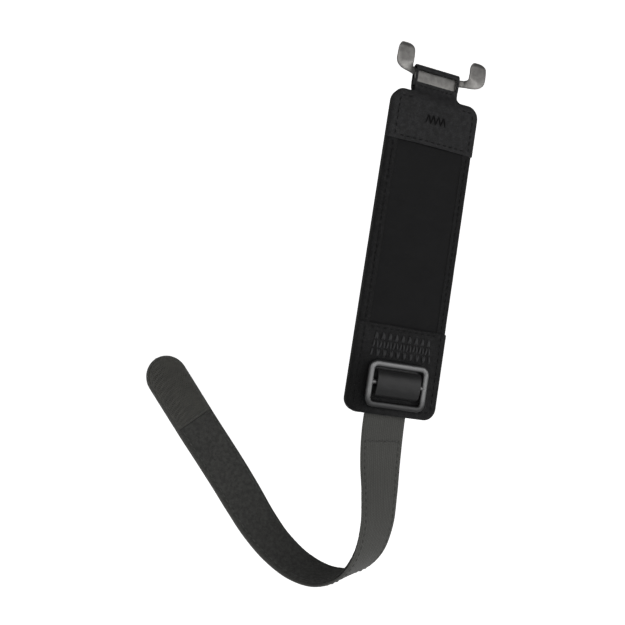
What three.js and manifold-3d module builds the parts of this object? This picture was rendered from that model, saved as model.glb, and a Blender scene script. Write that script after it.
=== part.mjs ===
// Padded hand strap with a steel hook clip, a slide buckle and a curled tail.
// Millimetres. X to the wearer's right, Z up along the pad, -Y is the front.
// Origin: centre of the pad's palm face, which lies in the plane y = 0.
import * as THREE from 'three';
import { mergeVertices } from 'three/addons/utils/BufferGeometryUtils.js';
import Module from 'manifold-3d';

const wasm = await Module();
wasm.setup();

// ---------------------------------------------------------------- dimensions
// Pad
const PAD_L = 157.7;
const PAD_TOP = PAD_L / 2;
const PAD_BOTTOM = -PAD_L / 2;
const PAD_W_BOTTOM = 48.5;      // width at the buckle end
const PAD_W_TOP = 47.5;         // width at the clip end
const PAD_R = 6.0;              // corner radius
const LINING_T = 1.0;           // palm lining
const LINING_INSET = 2.2;       // lining and front cover, in from the pad outline
const FOAM_INSET = 3.2;
const FOAM_GAP = 0.15;          // between the foam and the layers either side
const COVER_BACK = -5.5;
const COVER_FRONT = -6.5;
const PATCH_BACK = COVER_FRONT - 0.1;
const PATCH_FRONT = -7.5;       // leather patches sewn on the cover
const PATCH_INSET = 2.0;
const CAP_Z = 54.3;             // lower edge of the top cap
const PATCH_Z = -36.0;          // upper edge of the bottom patch
const BIND_W = 1.9;             // edge binding
const BIND_BACK = -0.3;
const BIND_FRONT = -6.9;

// Strap webbing, 7/8 inch stock
const WEB_W = 22.0;
const WEB_T = 1.5;
const WEB_X = -0.6;             // slightly off the pad's centre
const WEB_Y = -1.95;            // mid plane inside the pad
const WEB_CLEAR_FRONT = -3.1;   // front of the foam channel and of the binding slot

// Clip loop and plate
const LOOP_FRONT_W = 23.8;
const LOOP_BACK_W = 24.6;
const LOOP_ROOT_W = 22.4;       // where the loop meets the cap
const LOOP_Y = -1.7;            // mid plane of the loop and of the clip plate
const LOOP_T = 4.6;
const LOOP_TOP = 94.1;
const NECK_Z = 80.2;            // the loop's lower sections are set out from here
const PLATE_W = 22.8;
const PLATE_H = 8.1;
const PLATE_T = 1.6;
const PLATE_Z = 87.95;

// Hooks, one at each end of the plate
const HOOK_X = 20.3;
const HOOK_Y = -6.2;            // forward of the plate
const HOOK_TOP = 102.3;
const HOOK_CHAMFER = 0.35;
const ARM_Z = 90.15;            // straight arm that leaves the plate
const ARM_HALF_W = 1.75;
const ELBOW_X = 15.1;           // centre of the elbow between arm and hook
const ELBOW_Z = 92.5;
const ELBOW_INNER_R = 0.6;
const CROOK_R = 2.6;            // bend over the top of the hook

// Slide buckle
const BUCKLE_W = 32.3;
const BUCKLE_H = 22.5;
const BUCKLE_T = 2.6;
const BUCKLE_X = -0.8;          // buckle and keeper sit slightly towards -X
const BUCKLE_Z = -64.2;
const BUCKLE_BACK = -9.4;
const BUCKLE_MID_Y = BUCKLE_BACK - BUCKLE_T / 2;
const BUCKLE_RIM = 3.1;         // width of the frame's sides
const BUCKLE_BEVEL = 0.7;
const BAR_R = 1.3;              // centre bar
const BAR_Z = -63.5;
const BAR_EMBED = 0.8;          // bar let into the frame at each end
const KEEPER_W = 23.2;
const KEEPER_TOP = -54.2;

// Tail; places along it are arc lengths from the first row of TAIL
const TAPE_W = 20.0;            // tape on the back of the tail
const TAPE_T = 0.9;
const LAYER_GAP = 0.12;         // between webbing and tape
const TAPE_OFFSET = -(WEB_T / 2 + LAYER_GAP + TAPE_T / 2);
const HALF_HINGE = 1.5;         // half the gap between tail sections
const TAIL_STEP = 5.5;          // longest step between tail sections
const TAIL_END_R = 10.9;        // length of the rounded tip
const TAIL_START = 8.9;         // where the free tail starts
const TAPE_START = 17.0;
const FIRST_HINGE = 92.0;
const SECOND_HINGE = 150.0;
const TAIL_FLAT_L = 38.0;       // straight, flat length at the tip
const HOOK_PATCH_L = 36.0;      // from the start of the hook patch to the tip
const HOOK_PATCH_INSET = 1.0;   // patch end, in from the webbing's tip

// Tail centre line from inside the pad to the tip: x, y, z, then width direction x, y, z.
const TAIL = [
  [-0.6, -2.0, -72.8, 1.000, 0.000, 0.000],
  [-0.3, -1.9, -87.7, 0.999, -0.020, 0.020],
  [0.9, -2.0, -102.6, 0.997, 0.066, 0.019],
  [1.8, -4.3, -117.2, 0.974, 0.224, -0.016],
  [2.0, -6.4, -132.0, 0.935, 0.354, -0.036],
  [0.5, -4.4, -146.6, 0.881, 0.473, -0.013],
  [-4.0, 3.2, -158.4, 0.807, 0.583, 0.089],
  [-11.8, 14.4, -163.9, 0.745, 0.619, 0.247],
  [-21.7, 25.3, -162.2, 0.720, 0.576, 0.387],
  [-32.1, 33.3, -155.1, 0.722, 0.485, 0.493],
  [-42.1, 37.6, -145.0, 0.741, 0.363, 0.564],
  [-51.6, 39.3, -133.6, 0.758, 0.273, 0.593],
  [-61.1, 40.6, -122.1, 0.760, 0.259, 0.596],
  [-70.7, 42.8, -110.8, 0.759, 0.262, 0.594],
  [-80.3, 45.1, -99.6, 0.760, 0.260, 0.596],
  [-89.8, 46.8, -88.2, 0.760, 0.262, 0.596],
  [-99.5, 49.0, -77.0, 0.757, 0.275, 0.592],
  [-105.65, 50.39, -69.90, 0.757, 0.275, 0.592],
];

// ---------------------------------------------------------------- materials
const standard = (settings) => new THREE.MeshStandardMaterial({ metalness: 0, ...settings });
const LEATHER = standard({ color: 0x2a2b2d, roughness: 0.62 });
const COVER = standard({ color: 0x1f2022, roughness: 0.8 });
const LINING = standard({ color: 0x2c2d30, roughness: 0.95 });
const FOAM = standard({ color: 0x4a4b4e, roughness: 0.95 });
const WEBBING = standard({ color: 0x474843, roughness: 0.85 });
const LOOP_TAPE = standard({ color: 0x333331, roughness: 0.95 });
const HOOK_TAPE = standard({ color: 0x3d3c38, roughness: 0.9 });
const THREAD = standard({ color: 0x303134, roughness: 0.8 });
const SATIN = standard({ color: 0x3f4043, roughness: 0.45 });
const STEEL = standard({ color: 0x85837f, roughness: 0.38, metalness: 0.9 });
const BUCKLE_METAL = standard({ color: 0x646464, roughness: 0.35, metalness: 0.85 });

// ---------------------------------------------------------------- solids
const toSolid = (geometry) => {
  const bare = geometry.clone();
  bare.deleteAttribute('normal');
  bare.deleteAttribute('uv');
  const welded = mergeVertices(bare, 1e-4);
  return new wasm.Manifold(new wasm.Mesh({
    numProp: 3,
    vertProperties: new Float32Array(welded.attributes.position.array),
    triVerts: new Uint32Array(welded.index.array),
  }));
};

const indexedGeometry = (positions, indices) => {
  const geometry = new THREE.BufferGeometry();
  geometry.setAttribute('position', new THREE.BufferAttribute(new Float32Array(positions), 3));
  geometry.setIndex(new THREE.BufferAttribute(new Uint32Array(indices), 1));
  geometry.computeVertexNormals();
  return geometry;
};

const fromSolid = (solid) => {
  const mesh = solid.getMesh();
  return indexedGeometry(mesh.vertProperties, mesh.triVerts);
};

// Range of the given half width about a centre.
const around = (centre, half) => [centre - half, centre + half];

// Box from its [low, high] range on each axis.
const box = ([x0, x1], [y0, y1], [z0, z1]) => {
  const geometry = new THREE.BoxGeometry(x1 - x0, y1 - y0, z1 - z0);
  geometry.translate((x0 + x1) / 2, (y0 + y1) / 2, (z0 + z1) / 2);
  return geometry;
};

const shapeOf = (outline, hole) => {
  const shape = new THREE.Shape(outline);
  if (hole) shape.holes.push(new THREE.Path(hole.reverse()));
  return shape;
};

// Flat slab from an outline in (x, z), between the planes y = back and y = front.
const slab = (outline, back, front, hole) => {
  const geometry = new THREE.ExtrudeGeometry(shapeOf(outline, hole), {
    depth: back - front,
    bevelEnabled: false,
  });
  geometry.rotateX(Math.PI / 2);
  geometry.translate(0, back, 0);
  return geometry;
};

// Six times the volume inside a triangle mesh; negative when it is inside out.
const signedVolume = (points, indices) => {
  let volume = 0;
  for (let i = 0; i < indices.length; i += 3) {
    const [a, b, c] = indices.slice(i, i + 3).map((k) => points[k]);
    volume += a.dot(b.clone().cross(c));
  }
  return volume;
};

// Closed loft through sections with the same number of points.
const loft = (sections) => {
  const count = sections[0].length;
  const points = sections.flat();
  const indices = [];
  for (let i = 0; i + 1 < sections.length; i++) {
    for (let j = 0; j < count; j++) {
      const a = i * count + j;
      const b = i * count + ((j + 1) % count);
      indices.push(a, b, a + count, b, b + count, a + count);
    }
  }
  const last = (sections.length - 1) * count;
  for (let j = 1; j + 1 < count; j++) {
    indices.push(0, j + 1, j);
    indices.push(last, last + j, last + j + 1);
  }
  if (signedVolume(points, indices) < 0) {
    for (let i = 0; i < indices.length; i += 3) {
      [indices[i + 1], indices[i + 2]] = [indices[i + 2], indices[i + 1]];
    }
  }
  return indexedGeometry(points.flatMap((point) => point.toArray()), indices);
};

// ---------------------------------------------------------------- outlines and sections
const radians = (degrees) => (degrees * Math.PI) / 180;

// Polygon with rounded corners; corners is an anticlockwise list of [x, z, radius].
const roundedPolygon = (corners, segments = 5) => {
  const count = corners.length;
  const at = (i) => new THREE.Vector2(corners[i % count][0], corners[i % count][1]);
  return corners.flatMap(([x, z, radius], i) => {
    const corner = new THREE.Vector2(x, z);
    if (radius === 0) return [corner];
    const toPrevious = at(i + count - 1).sub(corner).normalize();
    const toNext = at(i + 1).sub(corner).normalize();
    const halfAngle = Math.acos(toPrevious.dot(toNext)) / 2;
    const setback = radius / Math.tan(halfAngle);
    const bisector = toPrevious.clone().add(toNext).normalize();
    const centre = corner.clone().addScaledVector(bisector, radius / Math.sin(halfAngle));
    const from = corner.clone().addScaledVector(toPrevious, setback).sub(centre);
    const to = corner.clone().addScaledVector(toNext, setback).sub(centre);
    const start = Math.atan2(from.y, from.x);
    let sweep = Math.atan2(to.y, to.x) - start;
    if (sweep > Math.PI) sweep -= 2 * Math.PI;
    if (sweep < -Math.PI) sweep += 2 * Math.PI;
    return Array.from({ length: segments + 1 }, (_, k) => {
      const angle = start + (sweep * k) / segments;
      return new THREE.Vector2(
        centre.x + radius * Math.cos(angle),
        centre.y + radius * Math.sin(angle),
      );
    });
  });
};

const roundedRectangle = (halfW, halfH, radius, segments) => roundedPolygon([
  [-halfW, -halfH, radius], [halfW, -halfH, radius],
  [halfW, halfH, radius], [-halfW, halfH, radius],
], segments);

const padHalfWidth = (z) => {
  const t = (z - PAD_BOTTOM) / PAD_L;
  return (PAD_W_BOTTOM * (1 - t) + PAD_W_TOP * t) / 2;
};

// Pad outline between two heights. The sides, and any end of the pad itself, move in by
// inset; a cut across the pad stays where it is, with square corners.
const padOutline = (inset, bottom = PAD_BOTTOM, top = PAD_TOP) => {
  const [z0, r0] = bottom === PAD_BOTTOM ? [bottom + inset, PAD_R - inset] : [bottom, 0];
  const [z1, r1] = top === PAD_TOP ? [top - inset, PAD_R - inset] : [top, 0];
  const half0 = padHalfWidth(z0) - inset;
  const half1 = padHalfWidth(z1) - inset;
  return roundedPolygon([[-half0, z0, r0], [half0, z0, r0], [half1, z1, r1], [-half1, z1, r1]]);
};

// Section points given as [u, v] steps along two directions from a centre.
const sectionAt = (centre, uDirection, vDirection, steps) => steps.map(([u, v]) => (
  centre.clone().addScaledVector(uDirection, u).addScaledVector(vDirection, v)
));

// Flat strip section with chamfered corners.
const stripSection = (centre, across, normal, halfW, halfT, chamfer = 0.25) => {
  const flatW = halfW - chamfer;
  const flatT = halfT - chamfer;
  return sectionAt(centre, across, normal, [
    [-halfW, -flatT], [-flatW, -halfT], [flatW, -halfT], [halfW, -flatT],
    [halfW, flatT], [flatW, halfT], [-flatW, halfT], [-halfW, flatT],
  ]);
};

const squareSection = (centre, uDirection, vDirection, size) => {
  const h = size / 2;
  return sectionAt(centre, uDirection, vDirection, [[-h, -h], [h, -h], [h, h], [-h, h]]);
};

// Zigzag of [position, swing] points, centred on position 0.
const zigzag = ({ count, pitch, even, odd }) => Array.from({ length: count + 1 }, (_, i) => (
  [(i - count / 2) * pitch, i % 2 ? odd : even]
));

// Square thread laid along a line of [x, z] points in a plane of constant y.
const thread = (line, y, size) => {
  const points = line.map(([x, z]) => new THREE.Vector2(x, z));
  const yAxis = new THREE.Vector3(0, 1, 0);
  return loft(points.map((point, i) => {
    const before = points[Math.max(i - 1, 0)];
    const after = points[Math.min(i + 1, points.length - 1)];
    const incoming = point.clone().sub(before).normalize();
    const outgoing = after.clone().sub(point).normalize();
    const along = incoming.clone().add(outgoing).normalize();
    const leg = outgoing.length() > 0 ? outgoing : incoming;
    // the mitre is widened to keep the legs full width, up to twice
    const mitre = 1 / Math.max(along.dot(leg), 0.5);
    const side = new THREE.Vector3(-along.y, 0, along.x).multiplyScalar(mitre);
    return squareSection(new THREE.Vector3(point.x, y, point.y), side, yAxis, size);
  }));
};

// ---------------------------------------------------------------- pad
const backLining = () => slab(padOutline(LINING_INSET), 0, -LINING_T);

// Foam with a channel along its back for the load webbing.
const foamCore = () => {
  const back = -LINING_T - FOAM_GAP;
  const body = toSolid(slab(padOutline(FOAM_INSET), back, COVER_BACK + FOAM_GAP));
  const channel = box(around(WEB_X, 11.3), [WEB_CLEAR_FRONT, -0.5], [-90, 90]);
  return fromSolid(body.subtract(toSolid(channel)));
};

const loadWebbing = () => box(
  around(WEB_X, WEB_W / 2),
  around(WEB_Y, WEB_T / 2),
  [-78.4, 76.4],
);

const frontCover = () => slab(padOutline(LINING_INSET), COVER_BACK, COVER_FRONT);

const leatherPatch = (bottom, top) => (
  slab(padOutline(PATCH_INSET, bottom, top), PATCH_BACK, PATCH_FRONT)
);

// Ring round the layers, with a slot at the bottom for the strap.
const edgeBinding = () => {
  const ring = toSolid(slab(padOutline(0), BIND_BACK, BIND_FRONT, padOutline(BIND_W)));
  const slot = box(around(WEB_X, 11.4), [WEB_CLEAR_FRONT, -0.9], [-81, -75]);
  return fromSolid(ring.subtract(toSolid(slot)));
};

// Stitch line round the cover panel, between the cap and the bottom patch.
const panelSeam = () => {
  const threadW = 0.6;
  const outline = (inset, radius) => {
    const top = CAP_Z - 1.6 - inset;
    const bottom = PATCH_Z + 1.6 + inset;
    const halfTop = 18.2 - inset;
    const halfBottom = 18.6 - inset;
    return roundedPolygon([
      [-halfTop, top, radius], [-halfBottom, bottom, radius],
      [halfBottom, bottom, radius], [halfTop, top, radius],
    ], 2);
  };
  const back = COVER_FRONT - 0.08;
  const front = COVER_FRONT - 0.6;
  return slab(outline(0, 0.6), back, front, outline(threadW, 0.3));
};

const capBartack = () => thread(
  zigzag({ count: 8, pitch: 1.3, even: 64.6, odd: 69.2 }),
  PATCH_FRONT - 0.35,
  0.55,
);

const zigzagSeam = () => thread(
  zigzag({ count: 14, pitch: 2.3, even: -50.6, odd: -39.6 }),
  PATCH_FRONT - 0.4,
  0.6,
);

// ---------------------------------------------------------------- clip loop
const clipLoop = () => {
  const root = LOOP_ROOT_W / 2;
  const front = LOOP_FRONT_W / 2;
  const back = LOOP_BACK_W / 2;
  const half = LOOP_T / 2;
  // z, half thickness, half width at the front, half width at the back
  const stations = [
    [NECK_Z + 1.3, 1.5, root, root],
    [NECK_Z + 1.9, 1.9, root, root + 0.4],
    [NECK_Z + 3.2, half, front - 0.4, back],
    [NECK_Z + 5, half, front, back],
    [LOOP_TOP - 1.6, half, front, back],
    [LOOP_TOP - 0.7, half - 0.45, front, back],
    [LOOP_TOP - 0.2, half - 1.1, front, back],
    [LOOP_TOP, half - 1.8, front, back - 0.3],
  ];
  const body = loft(stations.map(([z, halfT, halfFront, halfBack]) => (
    [[-halfFront, -halfT], [halfFront, -halfT], [halfBack, halfT], [-halfBack, halfT]]
      .map(([x, y]) => new THREE.Vector3(x, LOOP_Y + y, z))
  )));
  const pocket = box([-20, 20], around(LOOP_Y, 1.5), around(PLATE_Z, PLATE_H / 2 + 0.5));
  // the front is open over the plate, with narrow leather sides in front of the arm roots
  const opening = box([-11.3, 11.3], [LOOP_Y - 4, LOOP_Y - 1], [84.8, 91.5]);
  return fromSolid(toSolid(body).subtract(toSolid(pocket)).subtract(toSolid(opening)));
};

const loopSeam = () => thread(
  zigzag({ count: 10, pitch: 1.8, even: 82.8, odd: 83.4 }),
  LOOP_Y - LOOP_T / 2 - 0.45,
  0.5,
);

// ---------------------------------------------------------------- hook clip
// Elbow: turn in degrees, outer radius, y. It fans out into the hook's upright oval.
const ELBOW = [
  [0, 4.1, -3.5], [25, 4.7, -4.6], [45, 5.9, -5.3],
  [65, 7.9, -5.8], [80, 9.3, -6.1], [90, 9.7, -6.2],
];
// Crook, over the top and down behind: turn in degrees, half width.
const CROOK = [
  [0, 4.3], [25, 4.0], [50, 3.35], [75, 2.6],
  [105, 2.6], [130, 2.4], [155, 2.1], [180, 1.8],
];

// Stations of the +X hook: x, y, z, width angle in degrees from Z towards -X, half width.
const hookStations = () => {
  const elbow = ELBOW.map(([turn, outer, y]) => {
    const mid = (ELBOW_INNER_R + outer) / 2;
    const x = ELBOW_X + mid * Math.sin(radians(turn));
    const z = ELBOW_Z - mid * Math.cos(radians(turn));
    return [x, y, z, turn, (outer - ELBOW_INNER_R) / 2];
  });
  const crookY = HOOK_Y + CROOK_R;
  const crookZ = HOOK_TOP - PLATE_T / 2 - CROOK_R;
  const crook = CROOK.map(([turn, halfW]) => {
    const y = crookY - CROOK_R * Math.cos(radians(turn));
    const z = crookZ + CROOK_R * Math.sin(radians(turn));
    return [HOOK_X, y, z, 90, halfW];
  });
  return [
    [10.4, LOOP_Y, ARM_Z, 0, ARM_HALF_W],
    [12.2, LOOP_Y, ARM_Z, 0, ARM_HALF_W],
    [13.5, LOOP_Y - 0.7, ARM_Z, 0, ARM_HALF_W],
    ...elbow,
    [HOOK_X, HOOK_Y - 0.05, 94.4, 90, 4.55],
    [HOOK_X, HOOK_Y - 0.05, 96.4, 90, 4.5],
    ...crook,
    [HOOK_X, crookY + CROOK_R + 0.05, crookZ - 1.6, 90, 1.4],
    [HOOK_X, crookY + CROOK_R + 0.15, crookZ - 2.3, 90, 0.9],
  ];
};

// Arm and hook on one side: 1 for +X, -1 for -X.
const hook = (side) => {
  const stations = hookStations();
  const centres = stations.map(([x, y, z]) => new THREE.Vector3(side * x, y, z));
  return toSolid(loft(stations.map(([, , , angle, halfW], i) => {
    const before = centres[Math.max(i - 1, 0)];
    const after = centres[Math.min(i + 1, centres.length - 1)];
    const along = after.clone().sub(before).normalize();
    const turn = radians(angle);
    const across = new THREE.Vector3(-side * Math.sin(turn), 0, Math.cos(turn));
    const normal = across.clone().cross(along).normalize();
    return stripSection(centres[i], across, normal, halfW, PLATE_T / 2, HOOK_CHAMFER);
  })));
};

const hookClip = () => {
  const plate = box(
    around(0, PLATE_W / 2),
    around(LOOP_Y, PLATE_T / 2),
    around(PLATE_Z, PLATE_H / 2),
  );
  return fromSolid(toSolid(plate).add(hook(1)).add(hook(-1)));
};

// ---------------------------------------------------------------- buckle and keeper
const slideBuckle = () => {
  const bevel = BUCKLE_BEVEL;
  const halfW = BUCKLE_W / 2;
  const halfH = BUCKLE_H / 2;
  const holeInset = BUCKLE_RIM - bevel;
  const outline = roundedRectangle(halfW - bevel, halfH - bevel, 3.6, 5);
  const hole = roundedRectangle(halfW - holeInset, halfH - holeInset, 1.6, 3);
  const frame = new THREE.ExtrudeGeometry(shapeOf(outline, hole), {
    depth: BUCKLE_T - 2 * bevel,
    bevelEnabled: true,
    bevelSize: bevel,
    bevelThickness: bevel,
    bevelSegments: 2,
  });
  frame.rotateX(Math.PI / 2);
  frame.translate(BUCKLE_X, BUCKLE_BACK - bevel, BUCKLE_Z);

  const barL = BUCKLE_W - 2 * BUCKLE_RIM + 2 * BAR_EMBED;
  const bar = new THREE.CylinderGeometry(BAR_R, BAR_R, barL, 16);
  bar.rotateZ(Math.PI / 2);
  bar.translate(BUCKLE_X, BUCKLE_MID_Y, BAR_Z);
  return fromSolid(toSolid(frame).add(toSolid(bar)));
};

// Satin band: an oval sleeve round the centre bar, and a leaf up behind it.
const buckleKeeper = () => {
  // ellipse in (y, z), level with the bar
  const ellipse = ({ centreY, halfY, halfZ, segments = 28 }) => (
    Array.from({ length: segments }, (_, i) => {
      const angle = (2 * Math.PI * i) / segments;
      return new THREE.Vector2(
        centreY + halfY * Math.cos(angle),
        BAR_Z + halfZ * Math.sin(angle),
      );
    })
  );
  const outer = ellipse({ centreY: BUCKLE_MID_Y + 0.35, halfY: 2.45, halfZ: 6.2 });
  const inner = ellipse({ centreY: BUCKLE_MID_Y + 0.2, halfY: 1.62, halfZ: 5.3 });
  const sleeve = new THREE.ExtrudeGeometry(shapeOf(outer, inner), {
    depth: KEEPER_W,
    bevelEnabled: false,
  });
  // turn the (y, z) profile upright, so that its depth runs along x
  sleeve.applyMatrix4(new THREE.Matrix4().makeBasis(
    new THREE.Vector3(0, 1, 0),
    new THREE.Vector3(0, 0, 1),
    new THREE.Vector3(1, 0, 0),
  ));
  sleeve.translate(BUCKLE_X - KEEPER_W / 2, 0, 0);
  const leaf = box(around(BUCKLE_X, KEEPER_W / 2), [-8.6, -7.85], [BAR_Z + 0.5, KEEPER_TOP]);
  return fromSolid(toSolid(sleeve).add(toSolid(leaf)));
};

// ---------------------------------------------------------------- tail
const centreCurve = new THREE.CatmullRomCurve3(
  TAIL.map(([x, y, z]) => new THREE.Vector3(x, y, z)),
  false,
  'centripetal',
);
centreCurve.arcLengthDivisions = 800;
const widthCurve = new THREE.CatmullRomCurve3(
  TAIL.map((row) => new THREE.Vector3(...row.slice(3))),
  false,
  'catmullrom',
  0.5,
);
const TAIL_L = centreCurve.getLength();
const FLAT_START = TAIL_L - TAIL_FLAT_L;
const HOOK_PATCH_START = TAIL_L - HOOK_PATCH_L;

// Centre and directions at an arc length; front points to the pad's front at the root.
const tailFrame = (arc) => {
  const curveArc = Math.min(arc, FLAT_START);
  const t = centreCurve.getUtoTmapping(curveArc / TAIL_L);
  const along = centreCurve.getTangent(t).normalize();
  const centre = centreCurve.getPoint(t).addScaledVector(along, arc - curveArc);
  const across = widthCurve.getPoint(t);
  across.addScaledVector(along, -across.dot(along)).normalize();
  const front = along.clone().cross(across).normalize();
  return { centre, across, along, front };
};

// Strip along the tail between two arc lengths, moved by offset towards the front.
// tipLength is the length of its rounded end, 0 for a square one.
const tailStrip = ({ start, end, width, thickness, offset = 0, tipLength = 0 }) => {
  const tipStart = end - tipLength;
  const steps = Math.ceil((tipStart - start) / TAIL_STEP);
  const stations = Array.from({ length: steps + 1 }, (_, i) => (
    [start + ((tipStart - start) * i) / steps, width / 2]
  ));
  if (tipLength > 0) {
    for (const angle of [18, 34, 48, 60, 70, 78, 84].map(radians)) {
      stations.push([tipStart + tipLength * Math.sin(angle), (width / 2) * Math.cos(angle)]);
    }
  }
  return loft(stations.map(([arc, halfW]) => {
    const { centre, across, front } = tailFrame(arc);
    return stripSection(
      centre.addScaledVector(front, offset), across, front, halfW, thickness / 2,
    );
  }));
};

const tailWeb = (start, end, tipLength) => (
  tailStrip({ start, end, width: WEB_W, thickness: WEB_T, tipLength })
);
const tailTape = (start, end, tipLength) => tailStrip({
  start, end, width: TAPE_W, thickness: TAPE_T, offset: TAPE_OFFSET, tipLength,
});

// Stitch across the front of the tail, near the start of the loop tape.
const tailStay = () => {
  const { centre, across, along, front } = tailFrame(TAPE_START + 2.2);
  const line = zigzag({ count: 12, pitch: 1.5, even: -0.35, odd: 0.35 });
  return loft(line.map(([position, swing]) => {
    const point = centre.clone()
      .addScaledVector(across, position)
      .addScaledVector(along, swing)
      .addScaledVector(front, WEB_T / 2 + 0.36);
    return squareSection(point, along, front, 0.5);
  }));
};

// ---------------------------------------------------------------- assembly
const group = new THREE.Group();
const add = (name, geometry, material) => {
  const mesh = new THREE.Mesh(geometry, material);
  mesh.name = name;
  group.add(mesh);
};

add('back_lining', backLining(), LINING);
add('foam_core', foamCore(), FOAM);
add('load_webbing', loadWebbing(), WEBBING);
add('front_cover', frontCover(), COVER);
add('top_cap', leatherPatch(CAP_Z, PAD_TOP), LEATHER);
add('bottom_patch', leatherPatch(PAD_BOTTOM, PATCH_Z), LEATHER);
add('edge_binding', edgeBinding(), LEATHER);
add('panel_seam_thread', panelSeam(), THREAD);
add('cap_bartack_thread', capBartack(), THREAD);
add('zigzag_seam_thread', zigzagSeam(), THREAD);
add('clip_loop', clipLoop(), LEATHER);
add('loop_seam_thread', loopSeam(), THREAD);
add('hook_clip', hookClip(), STEEL);
add('slide_buckle', slideBuckle(), BUCKLE_METAL);
add('buckle_keeper', buckleKeeper(), SATIN);

const UPPER_END = FIRST_HINGE - HALF_HINGE;
const BEND = [FIRST_HINGE + HALF_HINGE, SECOND_HINGE - HALF_HINGE];
const END_START = SECOND_HINGE + HALF_HINGE;
const PATCH_END = TAIL_L - HOOK_PATCH_INSET;
const PATCH_TIP = TAIL_END_R - HOOK_PATCH_INSET;
add('tail_upper_web', tailWeb(TAIL_START, UPPER_END), WEBBING);
add('tail_upper_loop_tape', tailTape(TAPE_START, UPPER_END), LOOP_TAPE);
add('tail_bend_web', tailWeb(...BEND), WEBBING);
add('tail_bend_loop_tape', tailTape(...BEND), LOOP_TAPE);
add('tail_end_web', tailWeb(END_START, TAIL_L, TAIL_END_R), WEBBING);
add('tail_end_loop_tape', tailTape(END_START, HOOK_PATCH_START - 0.4), LOOP_TAPE);
add('tail_hook_patch', tailTape(HOOK_PATCH_START, PATCH_END, PATCH_TIP), HOOK_TAPE);
add('tail_stay_thread', tailStay(), THREAD);

export default group;
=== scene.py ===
# Padded hand strap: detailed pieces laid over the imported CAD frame.
# Lengths are in mm until a mesh is built. +Z runs up the strap, -Y is its front, and +X is
# to the right seen from the front. The pad is centred on x = z = 0 with its back near y = 0.
# A hook clip sits in a leather loop above it and a slide buckle near its lower end. The
# webbing tail leaves the lower end, curls behind the pad and rises to the left (-X).
import math

import bpy
import numpy as np
from mathutils import Matrix, Vector
from mathutils.geometry import delaunay_2d_cdt


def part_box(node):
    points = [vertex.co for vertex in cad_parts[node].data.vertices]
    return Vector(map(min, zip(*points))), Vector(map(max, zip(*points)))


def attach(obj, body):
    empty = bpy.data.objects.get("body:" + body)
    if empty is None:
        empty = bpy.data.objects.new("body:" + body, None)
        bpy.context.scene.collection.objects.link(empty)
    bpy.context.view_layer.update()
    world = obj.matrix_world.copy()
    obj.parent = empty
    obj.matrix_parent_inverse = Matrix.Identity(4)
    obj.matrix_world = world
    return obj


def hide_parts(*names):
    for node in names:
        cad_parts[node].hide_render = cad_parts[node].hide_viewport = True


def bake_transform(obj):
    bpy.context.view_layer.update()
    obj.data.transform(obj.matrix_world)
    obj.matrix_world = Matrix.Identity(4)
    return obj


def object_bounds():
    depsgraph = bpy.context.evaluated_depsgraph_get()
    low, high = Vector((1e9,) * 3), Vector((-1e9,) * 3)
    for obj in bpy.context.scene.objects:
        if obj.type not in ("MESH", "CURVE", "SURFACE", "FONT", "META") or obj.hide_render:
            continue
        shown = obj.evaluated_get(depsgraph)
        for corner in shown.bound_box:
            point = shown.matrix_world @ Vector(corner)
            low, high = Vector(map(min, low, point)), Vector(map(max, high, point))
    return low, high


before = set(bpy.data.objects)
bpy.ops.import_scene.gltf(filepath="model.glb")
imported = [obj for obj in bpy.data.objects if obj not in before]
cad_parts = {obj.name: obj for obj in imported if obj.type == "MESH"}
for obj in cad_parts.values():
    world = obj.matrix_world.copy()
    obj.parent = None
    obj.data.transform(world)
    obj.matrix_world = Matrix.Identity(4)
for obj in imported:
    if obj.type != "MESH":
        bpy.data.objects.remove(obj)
CAD_LO, CAD_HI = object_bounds()
MM = 0.001
SCENE = bpy.context.scene
FRONT = (0, -1, 0)
BACK = (0, 1, 0)


# ------------------------------------------------------------------ driving dimensions
def cad_box(node):
    """Low and high corners of a CAD piece, in mm."""
    low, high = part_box(node)
    return np.array(low) / MM, np.array(high) / MM


BINDING_LO, BINDING_HI = cad_box("edge_binding")
PAD_LENGTH = BINDING_HI[2] - BINDING_LO[2]
PAD_HALF = PAD_LENGTH / 2
BOTTOM_WIDTH = BINDING_HI[0] - BINDING_LO[0]
TOP_WIDTH = BOTTOM_WIDTH - 1.0
CORNER_R = 6.0
EDGE_R = 2.3            # rolled edge of the pad
STITCH_INSET = 3.3      # stitch row, in from the pad's outline
PITCH = 3.4             # stitch pitch
LEATHER_LIFT = 0.28     # mid surface of cap and patch above the pad's front
LEATHER_MARGIN = 0.22   # cap and patch stop this far inside the pad's outline

CAP_Z = cad_box("top_cap")[0][2]            # lower edge of the cap
PATCH_Z = cad_box("bottom_patch")[1][2]     # upper edge of the patch

LOOP_LO, LOOP_HI = cad_box("clip_loop")
LOOP_Y = (LOOP_LO[1] + LOOP_HI[1]) / 2
FRONT_LEAF = LOOP_Y - 2.3 + 0.25            # y of the loop's two leaves
BACK_LEAF = LOOP_Y + 2.3 - 0.3
FOLD_R = (BACK_LEAF - FRONT_LEAF) / 2
FOLD_Z = LOOP_HI[2] - 0.5 - FOLD_R
FOLD_END = FOLD_Z + math.pi * FOLD_R        # unrolled length where the back leaf starts
NECK_HW = 11.75                             # half widths of the neck and the loop
LOOP_SIDE_HW = 11.9
LOOP_BACK_HW = (LOOP_HI[0] - LOOP_LO[0]) / 2

BUCKLE_LO, BUCKLE_HI = cad_box("slide_buckle")
BUCKLE_X, BUCKLE_Y, BUCKLE_Z = (BUCKLE_LO + BUCKLE_HI) / 2
CENTRE_BAR_Z = -63.5
KEEPER_LO, KEEPER_HI = cad_box("buckle_keeper")


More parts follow.
